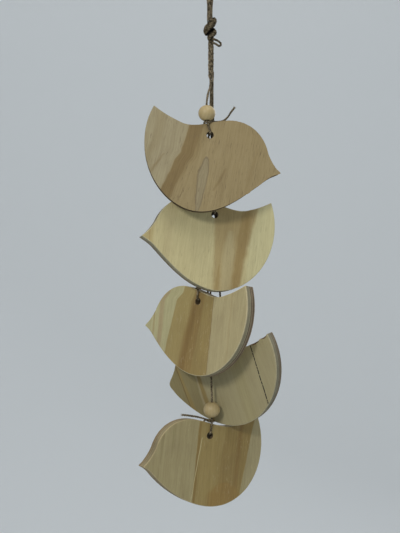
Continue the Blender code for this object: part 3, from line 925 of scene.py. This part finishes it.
def board_axes_group():
    """Across and along the grain and depth into the board, in millimetres, with wandering grain."""
    group, given, out = new_group(
        "board axes",
        [("Hang", "vector", (0.0, 0.0, 0.0)), ("Grain Angle", "value", 0.0), ("Wander", "value", 1.5),
         ("Ragged", "value", 0.0), ("Seed", "value", 0.0)],
        [("Across", "value"), ("Edge Across", "value"), ("Along", "value"), ("Depth", "value")])
    own = put(group, "ShaderNodeVectorRotate", {"Vector": own_place(group), "Rotation": given["Hang"]},
              rotation_type="EULER_XYZ", invert=True).outputs[0]
    turned = put(group, "ShaderNodeVectorRotate", {"Vector": own, "Angle": given["Grain Angle"]},
                 rotation_type="Y_AXIS").outputs[0]
    in_mm = stretched(group, turned, (1 / MM, 1 / MM, 1 / MM))
    parts = put(group, "ShaderNodeSeparateXYZ", {0: in_mm}).outputs

    def drift(across, along, detail):
        """A random shift about 0 that changes over so many turns in a millimetre each way."""
        spot = put(group, "ShaderNodeCombineXYZ", {0: times(group, parts[0], across), 1: given["Seed"],
                                                   2: times(group, parts[2], along)}).outputs[0]
        return maths(group, "SUBTRACT", speckle(group, spot, 1.0, detail), 0.5)

    slow = times(group, drift(0.05, 0.028, 2.0), times(group, given["Wander"], 4.0))
    quick = times(group, drift(0.11, 0.085, 3.0), given["Ragged"])
    across = maths(group, "ADD", parts[0], slow)
    group.links.new(across, out["Across"])
    group.links.new(maths(group, "ADD", across, quick), out["Edge Across"])
    group.links.new(parts[2], out["Along"])
    group.links.new(parts[1], out["Depth"])
    return group


def grain_group():
    """Fine lengthwise streaks, broader tone, pore dashes and pale flecks over a wood's own colour."""
    group, given, out = new_group(
        "lengthwise grain",
        [("Colour", "colour", (1, 1, 1, 1)), ("Across", "value", 0.0), ("Along", "value", 0.0),
         ("Depth", "value", 0.0), ("Seed", "value", 0.0), ("Streaks", "value", 1.0), ("Pores", "value", 0.2),
         ("Flecks", "value", 0.2)],
        [("Colour", "colour"), ("Roughness", "value"), ("Height", "value")])

    def noise_at(across, along, detail, rough):
        """Random values that are drawn out along the grain."""
        spot = put(group, "ShaderNodeCombineXYZ", {
            0: times(group, given["Across"], across),
            1: maths(group, "ADD", times(group, given["Depth"], 0.6), given["Seed"]),
            2: times(group, given["Along"], along)}).outputs[0]
        return speckle(group, spot, 1.0, detail, rough)

    streaks = noise_at(0.85, 0.030, 4.0, 0.72)
    tone = noise_at(0.11, 0.014, 3.0, 0.5)
    dashes = noise_at(1.8, 0.10, 2.0, 0.5)
    places = noise_at(0.16, 0.05, 2.0, 0.5)
    pores = times(group, eased(group, dashes, 0.60, 0.67), eased(group, places, 0.38, 0.58))
    pale = noise_at(2.7, 0.19, 2.0, 0.4)
    flecks = times(group, eased(group, pale, 0.63, 0.71), eased(group, places, 0.55, 0.40))
    level = times(group, eased(group, tone, 0.3, 0.7, 0.94, 1.06),
                  eased(group, streaks, 0.32, 0.68, 0.89, 1.08))
    change = times(group, maths(group, "SUBTRACT", level, 1.0), given["Streaks"])
    level = maths(group, "ADD", change, 1.0)
    warm = times(group, maths(group, "POWER", level, 1.35), 0.94)
    less_warm = maths(group, "POWER", level, 1.15)
    tint = put(group, "ShaderNodeCombineColor", {0: level, 1: less_warm, 2: warm}).outputs[0]
    colour = blended(group, 1.0, given["Colour"], tint, "MULTIPLY")
    colour = blended(group, times(group, pores, given["Pores"]), colour, PORE_BROWN)
    colour = blended(group, times(group, flecks, given["Flecks"]), colour, FLECK_PALE)
    group.links.new(colour, out["Colour"])
    group.links.new(eased(group, streaks, 0.3, 0.7, 0.68, 0.56), out["Roughness"])
    group.links.new(maths(group, "SUBTRACT", streaks, times(group, pores, 0.6)), out["Height"])
    return group


def band_group():
    """Mask of a coloured band of wood between two edges that may slope, with an optional tongue end."""
    group, given, out = new_group(
        "veneer band",
        [("Across", "value", 0.0), ("Along", "value", 0.0),
         ("Left", "value", -5.0), ("Left Slope", "value", 0.0),
         ("Right", "value", 5.0), ("Right Slope", "value", 0.0),
         ("Top", "value", FAR_END), ("Foot", "value", -FAR_END),
         ("Taper", "value", 1.0), ("Soft", "value", 1.0)],
        [("Mask", "value")])

    def edge(side):
        """Where one side of the band lies at this place along it."""
        return maths(group, "ADD", given[side], times(group, given["Along"], given[f"{side} Slope"]))

    left, right = edge("Left"), edge("Right")
    middle = times(group, maths(group, "ADD", left, right), 0.5)
    half = times(group, maths(group, "SUBTRACT", right, left), 0.5)
    under_top = maths(group, "SUBTRACT", given["Top"], given["Along"])
    over_foot = maths(group, "SUBTRACT", given["Along"], given["Foot"])
    below = maths(group, "DIVIDE", under_top, given["Taper"], True)
    above = maths(group, "DIVIDE", over_foot, given["Taper"], True)
    kept = times(group, maths(group, "SQRT", below), maths(group, "SQRT", above))
    away = maths(group, "ABSOLUTE", maths(group, "SUBTRACT", given["Across"], middle))
    over = maths(group, "SUBTRACT", times(group, half, kept), away)
    mask = eased(group, maths(group, "DIVIDE", over, given["Soft"]), -0.5, 0.5)
    group.links.new(times(group, mask, eased(group, kept, 0.0, 0.25)), out["Mask"])
    return group


def wear_group():
    """Slow soiling in patches, with small dark spots."""
    group, given, out = new_group(
        "handled wood",
        [("Colour", "colour", (1, 1, 1, 1)), ("Seed", "value", 0.0), ("Strength", "value", 0.12)],
        [("Colour", "colour"), ("Soil", "value")])
    step = put(group, "ShaderNodeCombineXYZ", {0: given["Seed"]}).outputs[0]
    place = own_place(group)
    shifted = put(group, "ShaderNodeVectorMath", {0: place, 1: step}, operation="ADD").outputs[0]
    patches = speckle(group, shifted, 38.0, 4.0)
    specks = speckle(group, shifted, 520.0, 2.0)
    dots = times(group, eased(group, specks, 0.66, 0.74), 1.3)
    soil = maths(group, "ADD", eased(group, patches, 0.45, 0.75), dots)
    share = times(group, soil, given["Strength"], True)
    group.links.new(blended(group, share, given["Colour"], SOIL_BROWN), out["Colour"])
    group.links.new(share, out["Soil"])
    return group


def new_finish(name, roughness, specular=0.5):
    """A new material, its node tree and its one shader."""
    made = bpy.data.materials.new(name)
    made.use_nodes = True
    shader = made.node_tree.nodes["Principled BSDF"]
    shader.inputs["Roughness"].default_value = roughness
    shader.inputs["Specular IOR Level"].default_value = specular
    return made, made.node_tree, shader


# Each face's own figure. Places are in millimetres across the grain from the hole, positive right,
# and slopes are across for each millimetre along. Later bands lie over earlier ones. A jog is how
# far the figure left of the hole steps aside below a stretch, the stretch's low and high ends, and
# how far above it. Its lean adds a slope below that stretch, and a turn slants the fine grain.
FACES = {
    1: {"angle": -13.0, "wander": 0.7, "ragged": 3.2, "base": (0.322, 0.247, 0.128),
        "jog": (4.5, -33.0, -20.0, 0.0), "lean": 0.15, "turn": 0.09,
        "streaks": 0.85, "pores": 0.75, "flecks": 0.12,
        "bands": [
            {"colour": (0.355, 0.300, 0.189), "left": -120, "right": -20.9, "right_slope": 0.02, "soft": 1.2},
            {"colour": (0.275, 0.203, 0.096), "left": -20.9, "left_slope": 0.02, "right": -3.0,
             "right_slope": 0.13, "soft": 5.5},
            {"colour": (0.232, 0.162, 0.070), "left": -20.9, "left_slope": 0.02, "right": -8.4,
             "right_slope": 0.05, "soft": 2.0},
            {"colour": (0.325, 0.268, 0.160), "left": -52.0, "right": -44.0, "soft": 6.0},
            {"colour": (0.285, 0.222, 0.122), "left": -30.5, "left_slope": 0.18, "right": -28.0,
             "right_slope": 0.18, "top": -27.0, "taper": 12.0, "foot": -58.0, "soft": 2.6},
            {"colour": (0.222, 0.172, 0.102), "left": -4.6, "left_slope": -0.100, "right": 7.0,
             "right_slope": -0.022, "top": -20.0, "taper": 16.0, "foot": -76.0, "soft": 1.4},
            {"colour": (0.305, 0.250, 0.150), "left": -3.8, "left_slope": -0.100, "right": 6.2,
             "right_slope": -0.022, "top": -22.0, "taper": 16.0, "foot": -74.0, "soft": 1.6},
            {"colour": (0.262, 0.208, 0.128), "left": 0.6, "left_slope": -0.060, "right": 1.5,
             "right_slope": -0.060, "top": -36.0, "taper": 10.0, "foot": -66.0, "soft": 1.0},
            {"colour": (0.270, 0.196, 0.092), "left": 29.0, "left_slope": 0.30, "right": 31.6,
             "right_slope": 0.30, "top": -26.0, "taper": 12.0, "foot": -50.0, "soft": 2.6},
            {"colour": (0.290, 0.216, 0.106), "left": 44.0, "right": 47.0, "top": 0.0, "taper": 20.0,
             "foot": -46.0, "soft": 3.0},
        ]},
    2: {"angle": 24.0, "wander": 0.7, "ragged": 4.0, "base": (0.560, 0.492, 0.280),
        "streaks": 0.55, "pores": 0.28, "flecks": 0.30,
        "bands": [
            {"colour": (0.515, 0.442, 0.250), "left": -46.0, "right": -38.0, "soft": 8.0},
            {"colour": (0.600, 0.548, 0.325), "left": 38.0, "right": 120.0, "soft": 3.0},
            {"colour": (0.420, 0.324, 0.160), "left": 0.8, "left_slope": -0.09, "right": 40.4,
             "right_slope": 0.14, "soft": 4.5},
            {"colour": (0.342, 0.244, 0.104), "left": 25.5, "right": 37.5, "right_slope": 0.09,
             "top": 20.0, "taper": 34.0, "soft": 5.0},
            {"colour": (0.460, 0.380, 0.212), "left": 10.2, "left_slope": -0.06, "right": 24.6,
             "right_slope": 0.02, "top": -12.0, "taper": 26.0, "soft": 5.0},
            {"colour": (0.360, 0.265, 0.115), "left": 9.0, "right": 12.0, "top": -46.0,
             "taper": 16.0, "soft": 2.4},
            {"colour": (0.465, 0.382, 0.194), "left": -90, "right": -56.0, "soft": 3.0},
            {"colour": (0.420, 0.310, 0.140), "left": -60.5, "right": -59.4, "soft": 1.2},
        ]},
    3: {"angle": 20.0, "wander": 0.6, "ragged": 1.0, "base": (0.424, 0.358, 0.205),
        "jog": (0.0, -1.0, 9.0, -6.5), "lean": 0.0, "streaks": 0.65, "pores": 0.20, "flecks": 0.55,
        "bands": [
            {"colour": (0.485, 0.445, 0.258), "left": -120, "right": -27.5, "right_slope": 0.17, "soft": 1.0},
            {"colour": (0.425, 0.340, 0.195), "left": -49.0, "right": -43.0, "soft": 2.4},
            {"colour": (0.400, 0.315, 0.160), "left": -56.0, "right": -54.4, "soft": 1.4},
            {"colour": (0.378, 0.290, 0.120), "left": -27.5, "left_slope": 0.17, "right": 19.8, "soft": 0.8},
            {"colour": (0.270, 0.180, 0.064), "left": -7.5, "left_slope": 0.17, "right": 10.5,
             "right_slope": 0.14, "soft": 6.5},
            {"colour": (0.235, 0.148, 0.050), "left": -4.0, "left_slope": 0.17, "right": 0.5,
             "right_slope": 0.15, "soft": 4.0},
            {"colour": (0.302, 0.220, 0.084), "left": 8.0, "left_slope": 0.12, "right": 19.6,
             "right_slope": 0.0, "soft": 4.0},
            {"colour": (0.230, 0.165, 0.075), "left": 19.5, "right": 20.1, "soft": 0.6},
            {"colour": (0.405, 0.330, 0.180), "left": 41.5, "right": 43.0, "soft": 2.0},
        ]},
    4: {"angle": 10.0, "wander": 0.5, "ragged": 1.6, "base": (0.366, 0.316, 0.186),
        "streaks": 0.5, "pores": 0.14, "flecks": 0.08,
        "bands": [
            # Darker left part: the wood's own tone, darkened further by painted shadow from bird 3
            {"colour": (0.262, 0.216, 0.106), "left": -70.0, "right": -34.0, "soft": 3.0},
            {"colour": (0.290, 0.215, 0.085), "left": -53.6, "left_slope": -0.09, "right": -50.4,
             "right_slope": -0.14, "soft": 2.2},
            {"colour": (0.165, 0.110, 0.040), "left": -53.4, "left_slope": -0.09, "right": -52.6,
             "right_slope": -0.09, "soft": 0.8},
            {"colour": (0.270, 0.195, 0.075), "left": -33.0, "left_slope": -0.03, "right": -28.4,
             "right_slope": -0.02, "soft": 2.4},
            {"colour": (0.350, 0.300, 0.165), "left": 8.0, "right": 20.0, "soft": 8.0},
        ]},
    5: {"angle": 25.7, "wander": 0.5, "ragged": 1.0, "base": (0.352, 0.296, 0.161),
        "streaks": 0.8, "pores": 0.22, "flecks": 0.35,
        "bands": [
            {"colour": (0.384, 0.328, 0.190), "left": 44.0, "right": 120.0, "soft": 2.0},
            {"colour": (0.325, 0.242, 0.096), "left": -12.6, "right": 46.6, "right_slope": 0.14, "soft": 0.8},
            {"colour": (0.290, 0.205, 0.076), "left": 17.2, "left_slope": 0.09, "right": 46.4,
             "right_slope": 0.14, "soft": 2.6},
            {"colour": (0.255, 0.172, 0.058), "left": -12.6, "right": -9.8, "soft": 1.6},
            {"colour": (0.250, 0.162, 0.056), "left": 32.0, "right": 36.5, "right_slope": 0.02, "soft": 3.4},
            {"colour": (0.300, 0.196, 0.066), "left": 4.0, "right": 40.0, "top": -44.0,
             "taper": 12.0, "soft": 8.0},
            {"colour": (0.520, 0.440, 0.250), "left": -8.3, "left_slope": 0.1, "right": -7.6,
             "right_slope": 0.1, "top": -2.0, "taper": 1.0, "soft": 0.5},
            {"colour": (0.300, 0.250, 0.130), "left": -41.0, "right": -38.2, "top": 40.0, "taper": 30.0,
             "foot": -24.0, "soft": 2.0},
            {"colour": (0.290, 0.240, 0.125), "left": -51.8, "right": -49.4, "top": 30.0, "taper": 20.0,
             "foot": -30.0, "soft": 2.0},
        ]},
}
CRACKED_BIRD = 4
CRACK_AT = 35.0
CRACK_HALF = 0.78
# The crack is real but not cut into the board: its near black is painted shade inside the open split
CRACK_BLACK = (0.012, 0.009, 0.006)


def face_finish(number, groups):
    """The sanded front and back of one bird."""
    look = FACES[number]
    finish, tree, shader = new_finish(f"bird {number} sanded face", 0.62, 0.35)
    axes = use(tree, groups["axes"], Hang=tuple(board_turn(BIRDS[number]).to_euler("XYZ")),
               Grain_Angle=math.radians(-look["angle"]), Wander=look["wander"], Ragged=look["ragged"],
               Seed=number * 3.7)
    across, edge_across = axes["Across"], axes["Edge Across"]
    if "turn" in look:
        across = maths(tree, "ADD", across, times(tree, axes["Along"], look["turn"]))
    if "jog" in look:
        below, low_end, high_end, above = look["jog"]
        lower = maths(tree, "MAXIMUM", maths(tree, "SUBTRACT", low_end, axes["Along"]), 0.0)
        shift = maths(tree, "ADD", eased(tree, axes["Along"], low_end, high_end, below, above),
                      times(tree, lower, look["lean"]))
        beside = eased(tree, axes["Across"], -14.0, 2.0, 1.0, 0.0)
        aside = times(tree, shift, beside)
        edge_across = maths(tree, "ADD", edge_across, aside)
        near = eased(tree, axes["Across"], -46.0, -22.0, 0.15, 1.0)
        across = maths(tree, "ADD", across, times(tree, aside, near))
    colour = look["base"]
    for band in look["bands"]:
        mask = use(tree, groups["band"], Across=edge_across, Along=axes["Along"],
                   Left=band["left"], Left_Slope=band.get("left_slope", 0.0),
                   Right=band["right"], Right_Slope=band.get("right_slope", 0.0),
                   Top=band.get("top", FAR_END), Foot=band.get("foot", -FAR_END),
                   Taper=band.get("taper", 1.0), Soft=band["soft"])["Mask"]
        colour = blended(tree, mask, colour, band["colour"])
    grain = use(tree, groups["grain"], Colour=colour, Across=across, Along=axes["Along"], Depth=axes["Depth"],
                Seed=number * 9.1, Streaks=look["streaks"], Pores=look["pores"], Flecks=look["flecks"])
    colour = grain["Colour"]
    if number == CRACKED_BIRD:
        off = maths(tree, "ABSOLUTE", maths(tree, "SUBTRACT", axes["Across"], CRACK_AT))
        line = eased(tree, off, CRACK_HALF, 0.4 * CRACK_HALF)
        spot = put(tree, "ShaderNodeCombineXYZ", {0: axes["Depth"], 2: axes["Along"]}).outputs[0]
        dashes = speckle(tree, spot, 0.5, 2.0)
        line = times(tree, line, eased(tree, dashes, 0.40, 0.48, 0.25, 1.0))
        colour = blended(tree, line, colour, CRACK_BLACK)
    worn = use(tree, groups["wear"], Colour=colour, Seed=number * 1.3, Strength=0.10)
    tree.links.new(worn["Colour"], shader.inputs["Base Color"])
    dulled = maths(tree, "ADD", grain["Roughness"], times(tree, worn["Soil"], 0.3), True)
    tree.links.new(dulled, shader.inputs["Roughness"])
    add_bump(tree, shader, grain["Height"], 0.35, 0.00016)
    return finish


# Tones of the plies from the front: face veneer, cross ply, core, cross ply and back veneer. The face
# veneer's pale tone is partly its own colour and partly painted highlight of the rounded front arris
PLY_TONES = [(0.0, (0.60, 0.52, 0.32)), (0.12, (0.58, 0.50, 0.30)), (0.135, (0.29, 0.26, 0.172)),
             (0.44, (0.30, 0.27, 0.178)), (0.46, (0.42, 0.37, 0.25)), (0.50, (0.40, 0.35, 0.23)),
             (0.52, (0.065, 0.045, 0.03)), (0.57, (0.07, 0.05, 0.033)), (0.59, (0.29, 0.225, 0.145)),
             (0.77, (0.27, 0.21, 0.135)), (0.785, (0.07, 0.05, 0.033)), (0.825, (0.07, 0.05, 0.033)),
             (0.84, (0.25, 0.18, 0.115)), (1.0, (0.27, 0.20, 0.125))]


def plies_group():
    """Sawn plies in layers from front to back, with open end grain and a little saw burn."""
    group, given, out = new_group(
        "sawn plies",
        [("Across", "value", 0.0), ("Along", "value", 0.0), ("Depth", "value", 0.0),
         ("Layers", "value", 1.0), ("Face Wood", "colour", (0.4, 0.3, 0.2, 1)),
         ("Tint", "colour", (1, 1, 1, 1)), ("Worn Arris", "value", 0.0)],
        [("Colour", "colour"), ("Height", "value")])
    spot = put(group, "ShaderNodeCombineXYZ",
               {0: given["Across"], 1: given["Depth"], 2: given["Along"]}).outputs[0]
    wave = maths(group, "SUBTRACT", speckle(group, spot, 0.07, 2.0), 0.5)
    depth = maths(group, "ADD", given["Depth"], times(group, wave, 0.5))
    ramp = put(group, "ShaderNodeValToRGB", {"Fac": maths(group, "DIVIDE", depth, PLY_THICK / MM)})
    stops = ramp.color_ramp.elements
    while len(stops) < len(PLY_TONES):
        stops.new(0.5)
    for stop, (place, tone) in zip(stops, PLY_TONES):
        stop.position = place
        stop.color = (*tone, 1.0)
    colour = blended(group, given["Layers"], given["Face Wood"], ramp.outputs[0])
    fine = speckle(group, stretched(group, spot, (0.9, 4.5, 0.9)), 1.0, 4.0)
    burn = speckle(group, spot, 0.045, 2.0)
    level = times(group, eased(group, fine, 0.3, 0.7, 0.80, 1.14),
                  eased(group, burn, 0.35, 0.7, 1.05, 0.8))
    colour = shaded(group, colour, level)
    colour = blended(group, 1.0, colour, given["Tint"], "MULTIPLY")
    worn = times(group, given["Worn Arris"], 0.45)
    group.links.new(blended(group, worn, colour, given["Face Wood"]), out["Colour"])
    group.links.new(fine, out["Height"])
    return group


def rim_finish(number, groups, layers, tint):
    """The sawn edge of one bird."""
    finish, tree, shader = new_finish(f"bird {number} sawn edge", 0.8, 0.25)
    axes = use(tree, groups["axes"], Hang=tuple(board_turn(BIRDS[number]).to_euler("XYZ")), Wander=0.0,
               Seed=number * 5.1)
    arris = put(tree, "ShaderNodeAttribute", attribute_name="arris").outputs["Fac"]
    plies = use(tree, groups["plies"], Across=axes["Across"], Along=axes["Along"], Depth=axes["Depth"],
                Layers=layers, Face_Wood=(*FACES[number]["base"], 1.0), Tint=(*tint, 1.0), Worn_Arris=arris)
    torn = put(tree, "ShaderNodeAttribute", attribute_name="splinters").outputs["Fac"]
    rust = blended(tree, eased(tree, plies["Height"], 0.4, 0.6), SPLINTER_DARK, SPLINTER_RUST)
    colour = blended(tree, torn, plies["Colour"], rust)
    tree.links.new(colour, shader.inputs["Base Color"])
    add_bump(tree, shader, plies["Height"], 0.5, 0.00018)
    return finish


def bore_finish():
    """The rough wall of a drilled hole, coloured near black as painted shade inside the hole."""
    finish, tree, shader = new_finish("drilled bore", 0.85, 0.2)
    fine = speckle(tree, own_place(tree), 2400.0, 4.0)
    colour = blended(tree, fine, BORE_DARK, BORE_LIGHT)
    tree.links.new(colour, shader.inputs["Base Color"])
    return finish


BEAD_ROUGHNESS = 0.42


def bead_finish(groups):
    """Turned pale beech: faint growth rings across the bore, short dark flecks, waxed to a soft sheen."""
    finish, tree, shader = new_finish("turned bead wood", BEAD_ROUGHNESS, 0.5)
    own_turn = times(tree, put(tree, "ShaderNodeObjectInfo").outputs["Random"], 6.28)
    turned = put(tree, "ShaderNodeVectorRotate", {"Vector": own_place(tree), "Angle": own_turn},
                 rotation_type="Z_AXIS").outputs[0]
    drawn_out = stretched(tree, turned, (1.0, 0.6, 0.16))
    rings = put(tree, "ShaderNodeTexWave",
                {"Vector": drawn_out, "Scale": 110.0, "Distortion": 2.0, "Detail": 2.0, "Detail Scale": 1.4},
                bands_direction="X").outputs["Fac"]
    flecks = speckle(tree, drawn_out, 2400.0, 2.0)
    colour = blended(tree, rings, BEAD_LIGHT, BEAD_RING)
    colour = blended(tree, eased(tree, flecks, 0.62, 0.74, 0.0, 0.30), colour, BEAD_FLECK)
    worn = use(tree, groups["wear"], Colour=colour, Seed=6.0, Strength=0.14)
    tree.links.new(worn["Colour"], shader.inputs["Base Color"])
    dulled = maths(tree, "ADD", times(tree, worn["Soil"], 0.6), BEAD_ROUGHNESS, True)
    tree.links.new(dulled, shader.inputs["Roughness"])
    add_bump(tree, shader, rings, 0.12, 0.00008)
    return finish


# Where painted shade darkens the knot's hollows: how far out from its middle it fades, and how high it ends
KNOT_SHADE_REACH = (0.0032, 0.0056)
KNOT_SHADE_FOOT = (-0.0545, -0.0515)


def jute_group():
    """Jute fibres that follow the twist, pale and dark lengths, and painted shade in the valleys between
    plies.
    """
    group, given, out = new_group(
        "jute fibres",
        [("Dark", "colour", (0.05, 0.04, 0.02, 1)), ("Light", "colour", (0.34, 0.28, 0.18, 1))],
        [("Colour", "colour"), ("Height", "value")])
    along = put(group, "ShaderNodeUVMap", uv_map="strand").outputs[0]
    parts = put(group, "ShaderNodeSeparateXYZ", {0: along}).outputs
    spot = put(group, "ShaderNodeCombineXYZ", {0: times(group, parts[0], 0.35),
                                               1: times(group, parts[1], 5.0)}).outputs[0]
    fibres = speckle(group, spot, 1.0, 4.0, 0.65)
    patches = speckle(group, own_place(group), 420.0, 3.0)
    mixed = maths(group, "ADD", times(group, fibres, 0.5), times(group, patches, 0.5))
    # Darker round each valley between plies: painted shade
    valley = maths(group, "COSINE", times(group, parts[1], 3.0))
    colour = blended(group, eased(group, mixed, 0.40, 0.60), given["Dark"], given["Light"])
    shade = eased(group, valley, -1.0, 0.1, 0.34, 1.0)
    group.links.new(shaded(group, colour, shade), out["Colour"])
    group.links.new(fibres, out["Height"])
    return group


def jute_finish(name, groups, dark, light, shade_middle=None):
    """Jute twine; in a knot, painted shade also darkens it towards the middle of it."""
    finish, tree, shader = new_finish(name, 0.92, 0.15)
    fibres = use(tree, groups["jute"], Dark=(*dark, 1.0), Light=(*light, 1.0))
    colour = fibres["Colour"]
    if shade_middle:
        place = own_place(tree)
        flat = stretched(tree, place, (1, 1, 0))
        out = put(tree, "ShaderNodeVectorMath", {0: flat, 1: shade_middle}, operation="DISTANCE").outputs["Value"]
        unshaded = eased(tree, out, KNOT_SHADE_REACH[0], KNOT_SHADE_REACH[1], 0.12, 1.0)
        height = put(tree, "ShaderNodeSeparateXYZ", {0: place}).outputs[2]
        unshaded = maths(tree, "MAXIMUM", unshaded, eased(tree, height, KNOT_SHADE_FOOT[0], KNOT_SHADE_FOOT[1], 1.0, 0.0))
        colour = shaded(tree, colour, unshaded)
    tree.links.new(colour, shader.inputs["Base Color"])
    add_bump(tree, shader, fibres["Height"], 0.6, 0.00015)
    return finish


def fibre_finish():
    """The stray fibres that stand off the twine and splay at its cut ends."""
    finish, tree, shader = new_finish("stray jute fibre", 0.9, 0.15)
    colour = blended(tree, speckle(tree, own_place(tree), 900.0, 2.0), FIBRE_DARK, FIBRE_LIGHT)
    tree.links.new(colour, shader.inputs["Base Color"])
    return finish


# Stage

BOWL_FLOOR = -1.35
BOWL_FLAT = 1.2
BOWL_BEND = 1.9
BOWL_TOP = 1.3
BOWL_STEPS = 40
BOWL_SIDES = 96


def make_stage():
    """A pale floor that curves up all round into a low wall."""
    profile = [(0.0, BOWL_FLOOR), (BOWL_FLAT, BOWL_FLOOR)]
    profile += [(BOWL_FLAT + BOWL_BEND * math.sin(a), BOWL_FLOOR + BOWL_BEND * (1 - math.cos(a)))
                for a in (math.pi / 2 * k / BOWL_STEPS for k in range(1, BOWL_STEPS + 1))]
    profile.append((BOWL_FLAT + BOWL_BEND, BOWL_TOP))
    sides = BOWL_SIDES
    turns = [2 * math.pi * k / sides for k in range(sides)]
    points = [(0.0, 0.0, BOWL_FLOOR)]
    for radius, height in profile[1:]:
        points += [(radius * math.cos(turn), radius * math.sin(turn), height) for turn in turns]
    faces = [(0, 1 + k, 1 + (k + 1) % sides) for k in range(sides)]
    for ring in range(len(profile) - 2):
        first = 1 + ring * sides
        faces += [(first + k, first + sides + k, first + sides + (k + 1) % sides, first + (k + 1) % sides)
                  for k in range(sides)]
    finish, _, shader = new_finish("pale studio floor", 0.9, 0.1)
    shader.inputs["Base Color"].default_value = (*FLOOR_PALE, 1.0)
    bowl = add_mesh("studio_floor", points, faces, [finish])
    bowl.data.shade_smooth()


MOBILE_MIDDLE = (0.0, 0.0, -0.27)
AIR_STRENGTH = 0.435
LIGHTS = {
    "key light": {"at": (-0.75, -1.55, 0.46), "to": MOBILE_MIDDLE, "size": 0.34, "power": 11.3,
                  "colour": (1.0, 0.975, 0.93)},
    "top light": {"at": (0.25, -0.55, 1.05), "to": MOBILE_MIDDLE, "size": 0.9, "power": 6.0,
                  "colour": (1.0, 0.985, 0.96)},
    "back light": {"at": (0.95, 1.45, 0.35), "to": MOBILE_MIDDLE, "size": 1.1, "power": 9.0,
                   "colour": (0.98, 0.99, 1.0)},
    "wall light": {"at": (0.0, 1.15, 1.25), "to": (0.0, 3.1, 0.7), "size": 1.6, "power": 7.4,
                   "colour": (1.0, 1.0, 1.0)},
}


def add_light(name, look):
    """A round area light that faces its target."""
    light = bpy.data.lights.new(name, "AREA")
    light.shape = "DISK"
    light.size = look["size"]
    light.energy = look["power"]
    light.color = look["colour"]
    lamp = bpy.data.objects.new(name, light)
    bpy.context.scene.collection.objects.link(lamp)
    lamp.location = look["at"]
    lamp.rotation_euler = (Vector(look["to"]) - Vector(look["at"])).to_track_quat("-Z", "Y").to_euler()


def make_lights():
    """Soft studio light: even air all round and four large lamps."""
    world = bpy.data.worlds.new("studio air")
    world.use_nodes = True
    background = world.node_tree.nodes["Background"]
    background.inputs["Color"].default_value = (0.97, 0.985, 1.0, 1.0)
    background.inputs["Strength"].default_value = AIR_STRENGTH
    bpy.context.scene.world = world
    for name, look in LIGHTS.items():
        add_light(name, look)


def make_camera():
    """A level camera in front of the mobile, where the photograph was taken from."""
    lens = bpy.data.cameras.new("camera")
    lens.lens = CAMERA_LENS
    lens.sensor_width = CAMERA_SENSOR
    lens.clip_start = 0.01
    camera = bpy.data.objects.new("camera", lens)
    bpy.context.scene.collection.objects.link(camera)
    camera.location = CAMERA_AT
    camera.rotation_euler = (math.radians(90), 0, 0)
    bpy.context.scene.camera = camera


make_camera()
bpy.context.scene.view_settings.view_transform = "Standard"

shared = {"axes": board_axes_group(), "grain": grain_group(), "band": band_group(), "wear": wear_group(),
          "plies": plies_group(), "jute": jute_group()}
jute = jute_finish("jute twine", shared, JUTE_DARK, JUTE_LIGHT)
# The knot and its slack loop take the darker knot colours, and the knot also darkens towards its middle:
# painted shade
shaded_knot_jute = jute_finish("jute of the knot with painted shade", shared, KNOT_SHADED_DARK, KNOT_SHADED_LIGHT,
                     (KNOT_MIDDLE[0] * MM, KNOT_MIDDLE[1] * MM, 0.0))
stray = fibre_finish()

# Strands first: the knot and its slack loop, the two of the hanging loop, and the five that hang
strand_draw = random.Random(STRAND_SEED)
knot_lines = knot_runs()
knot_shells = [strand_shell(run, strand_draw, TWINE_R * KNOT_LOOK) for run in knot_lines]
knot = strand_piece("overhand_knot", knot_shells, shaded_knot_jute)
knot_fuzz = fuzz_piece("overhand_knot_fuzz", knot_lines, KNOT_FUZZ, strand_draw, stray)
bight_run = smooth_run([Vector(p) * MM for p in BIGHT], STRAND_STEP)
bight = strand_piece("slack_bight", [strand_shell(bight_run, strand_draw, TWINE_R * BIGHT_LOOK)], shaded_knot_jute)
bight_fuzz = fuzz_piece("slack_bight_fuzz", [bight_run], BIGHT_FUZZ, strand_draw, stray)
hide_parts("top_knot")
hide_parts("knot_bight")
for piece in (knot, knot_fuzz, bight, bight_fuzz):
    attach(piece, "root")

for number, route in LOOP_STRANDS.items():
    run, length = even_run(smooth_run([Vector(p) * MM for p in route], STRAND_STEP), STRAND_STEP)
    strand = strand_piece(f"hanging_loop_strand_{number}", [strand_shell(run, strand_draw)], jute)
    fuzz = fuzz_piece(f"hanging_loop_fuzz_{number}", [run], LOOP_FUZZ, strand_draw, stray)
    for piece in (strand, fuzz):
        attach(piece, "root")
    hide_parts(f"loop_strand_{number}")

for number, bird in BIRDS.items():
    run, length = even_run(smooth_run(strand_route(number, bird), STRAND_STEP), STRAND_STEP)
    strand = strand_piece(f"jute_strand_{number}", [strand_shell(run, strand_draw)], jute)
    tip, before = Vector(run[-1]), Vector(run[-6])
    brush = [(tip, (tip - before).normalized(), BRUSH_FIBRES, BRUSH_LONG * MM)]
    fuzz = fuzz_piece(f"jute_strand_fuzz_{number}", [run], STRAND_FUZZ, strand_draw, stray, brush)
    for piece in (strand, fuzz):
        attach(piece, "root")
    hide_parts(f"twine_{number}")

# Boards and beads. Each board's rim has how clearly its layers show, and its tint; the first bird's dark tint
# is painted shade over its whole sawn edge
bore = bore_finish()
bead_wood = bead_finish(shared)
RIMS = {1: (0.8, (0.30, 0.27, 0.25)), 2: (0.9, (0.95, 0.99, 1.0)), 3: (1.0, (1.0, 1.0, 1.0)),
        4: (0.8, (0.86, 0.88, 0.92)), 5: (0.55, (1.0, 0.95, 0.90))}
for number, bird in BIRDS.items():
    face = face_finish(number, shared)
    rim = rim_finish(number, shared, *RIMS[number])
    board = board_piece(number, bird, [face, rim, bore])
    bead = bead_piece(number, bird, bead_wood)
    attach(board, "root")
    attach(bead, "root")
    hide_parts(f"bird_{number}")
    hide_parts(f"bead_{number}")

make_stage()
make_lights()
